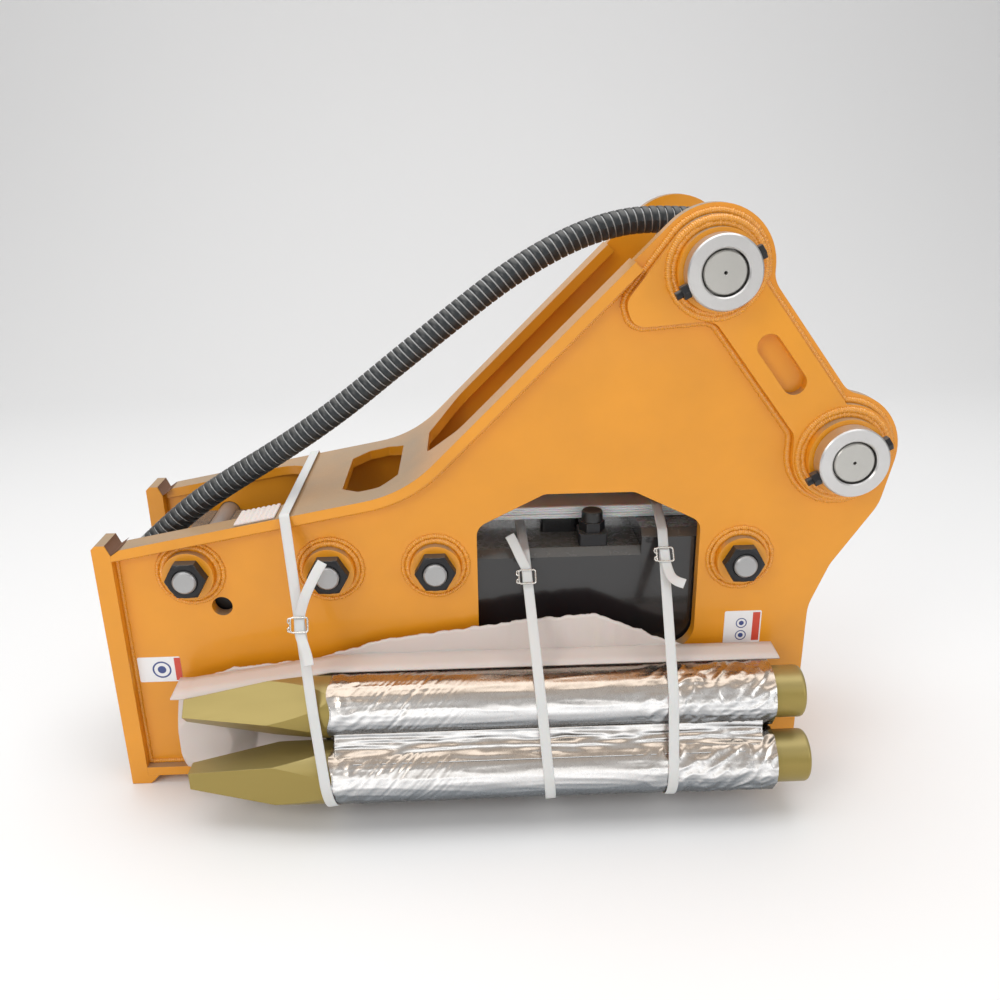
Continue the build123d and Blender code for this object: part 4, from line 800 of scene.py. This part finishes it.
def build_foam():
    tops = np.array(FOAM_TOP, float)
    x = np.linspace(100, 1049, 400)
    edge = np.interp(x, tops[:, 0], tops[:, 1])
    edge = edge + np.array([3.0 * noise.noise(Vector((v * 0.06, 0, 0)))
                            + 1.2 * noise.noise(Vector((v * 0.3, 3, 0))) for v in x])
    rows = 46
    down = np.linspace(0, 1, rows)
    gx, gd = np.meshgrid(x, down, indexing="ij")
    low = 40.0
    gz = edge[:, None] + (low - edge[:, None]) * gd
    flat = np.stack([gx.ravel(), gz.ravel(), np.zeros(gx.size)], 1)
    ribs = smooth_noise(flat * np.array([1.0, 0.05, 1]), 0.09, 2).reshape(gx.shape)
    broad = smooth_noise(flat, 0.012, 3).reshape(gx.shape)
    over_window = np.clip((gx - 560) / 60, 0, 1) * np.clip((860 - gx) / 60, 0, 1)
    over_window = over_window * np.clip((gz - 205) / 30, 0, 1)
    out = 2.2 + 1.2 * np.abs(broad) + over_window * (1.6 * ribs + 1.0)
    away = np.hypot(gx - BOLT_SPOTS[0], gz - BOLT_ROWS[1])
    out = out + 27.0 * np.clip((78 - away) / 34, 0, 1) ** 0.8
    y = -(HALF + out)
    grids = []
    for thick in (0.0, 3.0):
        grids.append(np.stack([(gx - SETBACK) * MM, (y - thick) * MM, (gz - AXIS_HEIGHT) * MM], -1))
    front, back = grids[1], grids[0][:, ::-1]
    rings = np.concatenate([front, back], 1)
    piece = skin("foam_sheet", rings, MATERIALS["foam"], "foam", caps=True)
    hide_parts("foam_sheets")
    flap_x = np.linspace(108, 1050, 300)
    top = np.minimum(np.interp(flap_x, tops[:, 0], tops[:, 1]) - 4, 240)
    axis_y, axis_z, tip = CHISELS[1]
    start = np.array([14 + 0.15 * max(0, v - tip) for v in flap_x])
    section = []
    for v, high, size in zip(flap_x, top, np.minimum(start, 47.5)):
        wobble = 1.5 * noise.noise(Vector((v * 0.03, 5, 0)))
        rest = axis_z + math.sqrt(max(0.0, (size + 5.4) ** 2 - (0.35 * size) ** 2))
        row = [(-162.5, high), (-164, high - 5), (-168, max(high - 11, rest + 3) + wobble * 0.5),
               (-180, rest + 2 + wobble), (-196, rest + 1.5 + wobble), (axis_y + 0.35 * size, rest)]
        row += [(py, pz - 2.4) for py, pz in row[::-1]]
        section.append([H(v, py, pz) for py, pz in row])
    rings = np.array([[tuple(p) for p in row] for row in section])
    flap = skin("foam_flap", rings, MATERIALS["foam"], "foam", caps=True)
    build_bundle()
    build_pad()


def build_bundle():
    layers = []
    for layer in range(5):
        low = 177.4 + 4.35 * layer
        x = np.linspace(537 + 3 * math.sin(layer * 2.1), 910 - 3 * math.cos(layer * 1.7), 120)
        half = 58.5 - 1.5 * math.cos(layer * 2.6)
        y = np.concatenate([np.linspace(-half, half, 25)])
        gx, gy = np.meshgrid(x, y, indexing="ij")
        flat = np.stack([gx.ravel(), gy.ravel(), np.full(gx.size, layer * 9.0)], 1)
        sag = 0.25 * smooth_noise(flat, 0.02, 4).reshape(gx.shape)
        upper = np.stack([gx * MM, gy * MM, (low + 3.7 + sag) * MM], -1)
        lower = np.stack([gx * MM, gy * MM, (low + sag) * MM], -1)[:, ::-1]
        bulge_near = np.stack([gx[:, :1] * MM, (gy[:, :1] - 1.2) * MM, (low + 1.85 + sag[:, :1]) * MM], -1)
        bulge_far = np.stack([gx[:, :1] * MM, (gy[:, -1:] + 1.2) * MM, (low + 1.85 + sag[:, -1:]) * MM], -1)
        layers.append(skin(f"bundle_{layer}", np.concatenate([upper, bulge_far, lower, bulge_near], 1),
                           BUNDLE_FOAM_PAINTED_LIGHT, "foam", caps=True))
    piece = joined("foam_bundle_layers", layers)
    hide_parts("foam_bundle")


def build_pad():
    x, y = np.linspace(217, 279, 60), np.linspace(-154.5, -99.5, 54)
    gx, gy = np.meshgrid(x, y, indexing="ij")
    top = 420 + (gx - 28) * math.tan(math.radians(10.3))
    bubbles = np.abs(np.sin(gx * math.pi / 8.0) * np.sin(gy * math.pi / 8.0)) ** 0.6
    upper = np.stack([(gx - SETBACK) * MM, gy * MM, (top + 2.6 + 2.4 * bubbles - AXIS_HEIGHT) * MM], -1)
    lower = np.stack([(gx - SETBACK) * MM, gy * MM, (top + 0.6 - AXIS_HEIGHT) * MM], -1)[:, ::-1]
    piece = skin("foam_pad", np.concatenate([upper, lower], 1), MATERIALS["foam"], "foam", caps=True)


# ---- Straps and buckles ----
# Across the strap and along it, in millimetres from a buckle's middle.
BUCKLE_CORNERS = [(-13, -11), (13, -11), (13, 11), (-13, 11)]
BUCKLE_PRONGS = (((-13, -10), (-16, -9.5), (-17, -5), (-14.5, -2)),
                 ((-13, 10), (-16, 9.5), (-17, 5.5), (-14.5, 3)))
BUCKLE_OUT = 2.0


def ribbon(name, centre, across, width, thick, loop=False):
    """Flat strap along a centreline, with its width along the across directions."""
    centre, across = np.asarray(centre, float), np.asarray(across, float)
    run = np.gradient(centre, axis=0) if not loop else np.roll(centre, -1, 0) - np.roll(centre, 1, 0)
    run /= np.linalg.norm(run, axis=1)[:, None]
    up = np.cross(run, across)
    up /= np.linalg.norm(up, axis=1)[:, None]
    rings = []
    half, deep = width / 2 * MM, thick / 2 * MM
    profile = [(-half, 0), (-half * 0.93, deep), (-half * 0.4, deep * 1.15), (half * 0.4, deep * 1.15),
               (half * 0.93, deep), (half, 0), (half * 0.93, -deep), (half * 0.4, -deep),
               (-half * 0.4, -deep), (-half * 0.93, -deep)]
    for a, b in profile:
        rings.append(centre + across * a + up * b)
    return skin(name, np.stack(rings, 1), MATERIALS["strap_webbing"], "strap_webbing", loop=loop,
                caps=not loop)


def strap_loops():
    """Centreline and width direction of each strap's closed loop, from the front one back."""
    found = []
    made = merged("cargo_straps")
    for verts in islands(made):
        faces = {f for v in verts for f in v.link_faces}
        side = [f for f in faces if f.normal.x > 0.9]
        normal = sum((f.normal * f.calc_area() for f in side), Vector()).normalized()
        outer = boundary_loops(side)[0]
        centre = resample(outer, 4 * MM, True) - np.array(normal) * 8 * MM
        middle = centre.mean(0)
        run = np.roll(centre, -1, 0) - np.roll(centre, 1, 0)
        inward = np.cross(run, np.array(normal))
        inward /= np.linalg.norm(inward, axis=1)[:, None]
        if np.sum((middle - centre) * inward) < 0:
            inward = -inward
        found.append((centre + inward * 0.6 * MM, np.array(normal)))
    return sorted(found, key=lambda pair: pair[0][:, 0].mean())


def buckle_frames():
    """Centre, long direction, strap direction and outward normal of each buckle, front one first."""
    found = []
    for verts in islands(merged("strap_buckles")):
        points = np.array([v.co for v in verts])
        middle = (points.max(0) + points.min(0)) / 2
        outward = np.linalg.svd(points - points.mean(0))[2][2]
        outward *= -np.sign(outward[1])
        long_way = np.array([1.0, 0, 0]) - outward * outward[0]
        long_way /= np.linalg.norm(long_way)
        down = np.cross(long_way, outward)
        down *= -np.sign(down[2])
        found.append((middle, long_way, down, outward))
    return sorted(found, key=lambda f: f[0][0])


def wire(name, points, radius, closed):
    points = resample(points, 1.5 * MM, closed)
    run = np.roll(points, -1, 0) - np.roll(points, 1, 0) if closed else np.gradient(points, axis=0)
    run /= np.linalg.norm(run, axis=1)[:, None]
    first = np.cross(run, np.array([0.31, -0.9, 0.3]))
    first /= np.linalg.norm(first, axis=1)[:, None]
    second = np.cross(run, first)
    rings = [points + radius * MM * (first * math.cos(t) + second * math.sin(t))
             for t in np.linspace(0, 2 * math.pi, 10, endpoint=False)]
    return skin(name, np.stack(rings, 1), MATERIALS["buckle_wire"], "buckle_wire", loop=closed,
                caps=not closed)


def rounded(corners, radius, steps=5):
    """Closed flat path with rounded corners, in two coordinates."""
    made = []
    corners = [np.array(c, float) for c in corners]
    for before, here, after in zip(corners[-1:] + corners[:-1], corners, corners[1:] + corners[:1]):
        a = here + (before - here) / np.linalg.norm(before - here) * radius
        b = here + (after - here) / np.linalg.norm(after - here) * radius
        made += [(1 - t) ** 2 * a + 2 * t * (1 - t) * here + t * t * b for t in np.linspace(0, 1, steps)]
    return made


def build_straps():
    pieces = []
    for number, (centre, normal) in enumerate(strap_loops()):
        pieces.append(ribbon(f"strap_{number}", centre, np.tile(normal, (len(centre), 1)), 16.0, 1.1, True))
    frames = buckle_frames()
    tails = [
        (0, [(0, 10, -0.2), (1, -12, 0.2), (12, -42, 10), (26, -72, 8), (37, -92, 3)]),
        (0, [(0, -9, 0.0), (1, 13, 0.3), (7, 30, 4), (12, 46, 5), (15, 60, 7)]),
        (1, [(0, 9, -0.2), (-1, -12, 0.2), (-9, -30, 6), (-19, -54, 10), (-25, -66, 13)]),
        (2, [(0, -9, 0.0), (1, 13, 0.3), (5, 34, 5), (12, 44, 10), (24, 50, 13)]),
    ]
    for which, points in tails:
        middle, long_way, down, outward = frames[which]
        spots = np.array([middle + (a * long_way + b * down + c * outward) * MM for a, b, c in points])
        spots = smoothed(spots)
        run = np.gradient(spots, axis=0)
        across = np.cross(run, outward)
        across /= np.linalg.norm(across, axis=1)[:, None]
        pieces.append(ribbon("tail", spots, across, 15.6, 1.1))
    whole = joined("straps", pieces)
    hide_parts("cargo_straps")
    wires = []
    for middle, long_way, down, outward in frames:
        here = lambda a, b, c: middle + (a * long_way + b * down + c * outward) * MM
        outer = rounded(BUCKLE_CORNERS, 3.5)
        wires.append(wire("w", np.array([here(a, b, BUCKLE_OUT) for a, b in outer]), 1.5, True))
        for prong in BUCKLE_PRONGS:
            wires.append(wire("w", np.array([here(a, b, BUCKLE_OUT) for a, b in prong]), 1.3, False))
    whole = joined("buckles", wires)
    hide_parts("strap_buckles")


def smoothed(points, count=40):
    """Catmull-Rom curve through a few points."""
    points = np.vstack([2 * points[0] - points[1], points, 2 * points[-1] - points[-2]])
    made = []
    for a, b, c, d in zip(points, points[1:], points[2:], points[3:]):
        for t in np.linspace(0, 1, count // (len(points) - 3), endpoint=False):
            made.append(0.5 * (2 * b + (c - a) * t + (2 * a - 5 * b + 4 * c - d) * t * t
                               + (3 * b - a - 3 * c + d) * t ** 3))
    return np.array(made + [points[-2]])


# ---- Nuts, painted groove shade and labels ----
NUT_FLAT = 27.5
# Height above the housing's side and greatest radius of each ring of a nut, from its foot to its bore.
NUT_STEPS = ((0.0, 99), (15.2, 99), (16.1, 29.8), (17.2, 27.6), (18.0, 25.6), (18.0, 20.4), (16.4, 18.1))
LABEL_LEVEL = -PLATE_OUT - 0.62
LABEL_BANDS = ((93, 103, 186, 227), (1026, 1038, 226, 277))     # left, right, bottom, top
LABEL_DISCS = ((72, 206, 15), (1008, 236, 9), (1008, 258, 9))   # x, z, radius
GROOVE = ((21.2, 430.2), (28.0, 413.8), (41.6, 422.9))          # x and z across a groove


def build_nuts():
    """Hexagon nuts with the round chamfer that a flat-ended CAD nut leaves out."""
    turn = np.linspace(0, 2 * math.pi, 48, endpoint=False)
    edge = NUT_FLAT / np.cos(turn % (math.pi / 3) - math.pi / 6)
    pieces = []
    for side in (-1, 1):
        for x in BOLT_SPOTS:
            for z in BOLT_ROWS:
                rings = [[tuple(H(x + r * math.cos(t), side * (HALF + height), z + r * math.sin(t)))
                          for r, t in zip(np.minimum(edge, limit), turn)] for height, limit in NUT_STEPS]
                pieces.append(skin("n", np.array(rings), MATERIALS["black_steel"], "black_steel",
                                   smooth=False))
    piece = joined("nuts", pieces)
    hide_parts("side_nuts")


def ring_mark(x, z, outer, inner):
    turn = np.linspace(0, 2 * math.pi, 32, endpoint=False)
    rings = [[tuple(H(x + r * math.cos(t), LABEL_LEVEL, z + r * math.sin(t))) for t in turn]
             for r in (outer, inner)]
    return skin("r", rings, MARK_BLUE, "decal_film")


def build_marks():
    pieces = []
    # Dark strips in the grooves on both sides: painted shade.
    for side in (-1, 1):
        rows = [[tuple(H(x, side * y, z + 0.25)) for y in np.linspace(106.5, 157.5, 12)] for x, z in GROOVE]
        pieces.append(skin("g", rows, GROOVE_PAINTED_SHADE, "orange_paint", around=False))
    joined("bare_grooves", pieces)
    bands = []
    for left, right, low, high in LABEL_BANDS:
        rows = [[tuple(H(x, LABEL_LEVEL, z)) for z in (low, high)] for x in (left, right)]
        bands.append(skin("b", rows, MARK_RED, "decal_film", around=False))
    joined("label_bands", bands)
    discs = []
    for x, z, size in LABEL_DISCS:
        discs += [ring_mark(x, z, size, size * 0.82), ring_mark(x, z, size * 0.45, 0.01)]
    joined("label_rings", discs)


# ---- Floor ----
def build_floor():
    profile = [(-5.0, 0.0), (2.4, 0.0)]
    profile += [(2.4 + 1.6 * math.sin(t), 1.6 - 1.6 * math.cos(t)) for t in np.linspace(0.1, math.pi / 2, 16)]
    profile.append((4.0, 5.0))
    low = -AXIS_HEIGHT * MM - 0.0005
    points = [(x, y, z + low) for y, z in profile for x in (-6.0, 7.0)]
    faces = [(2 * i, 2 * i + 1, 2 * i + 3, 2 * i + 2) for i in range(len(profile) - 1)]
    floor = add_mesh("floor", points, faces, soft("floor_paint", (0.86, 0.86, 0.86), 0.6))


build_camera()
build_hoses()
paint_foil_light_by_facing()
paint_nodes()
build_light()
build_floor()
build_welds()
build_foil()
build_foam()
build_straps()
build_nuts()
build_marks()
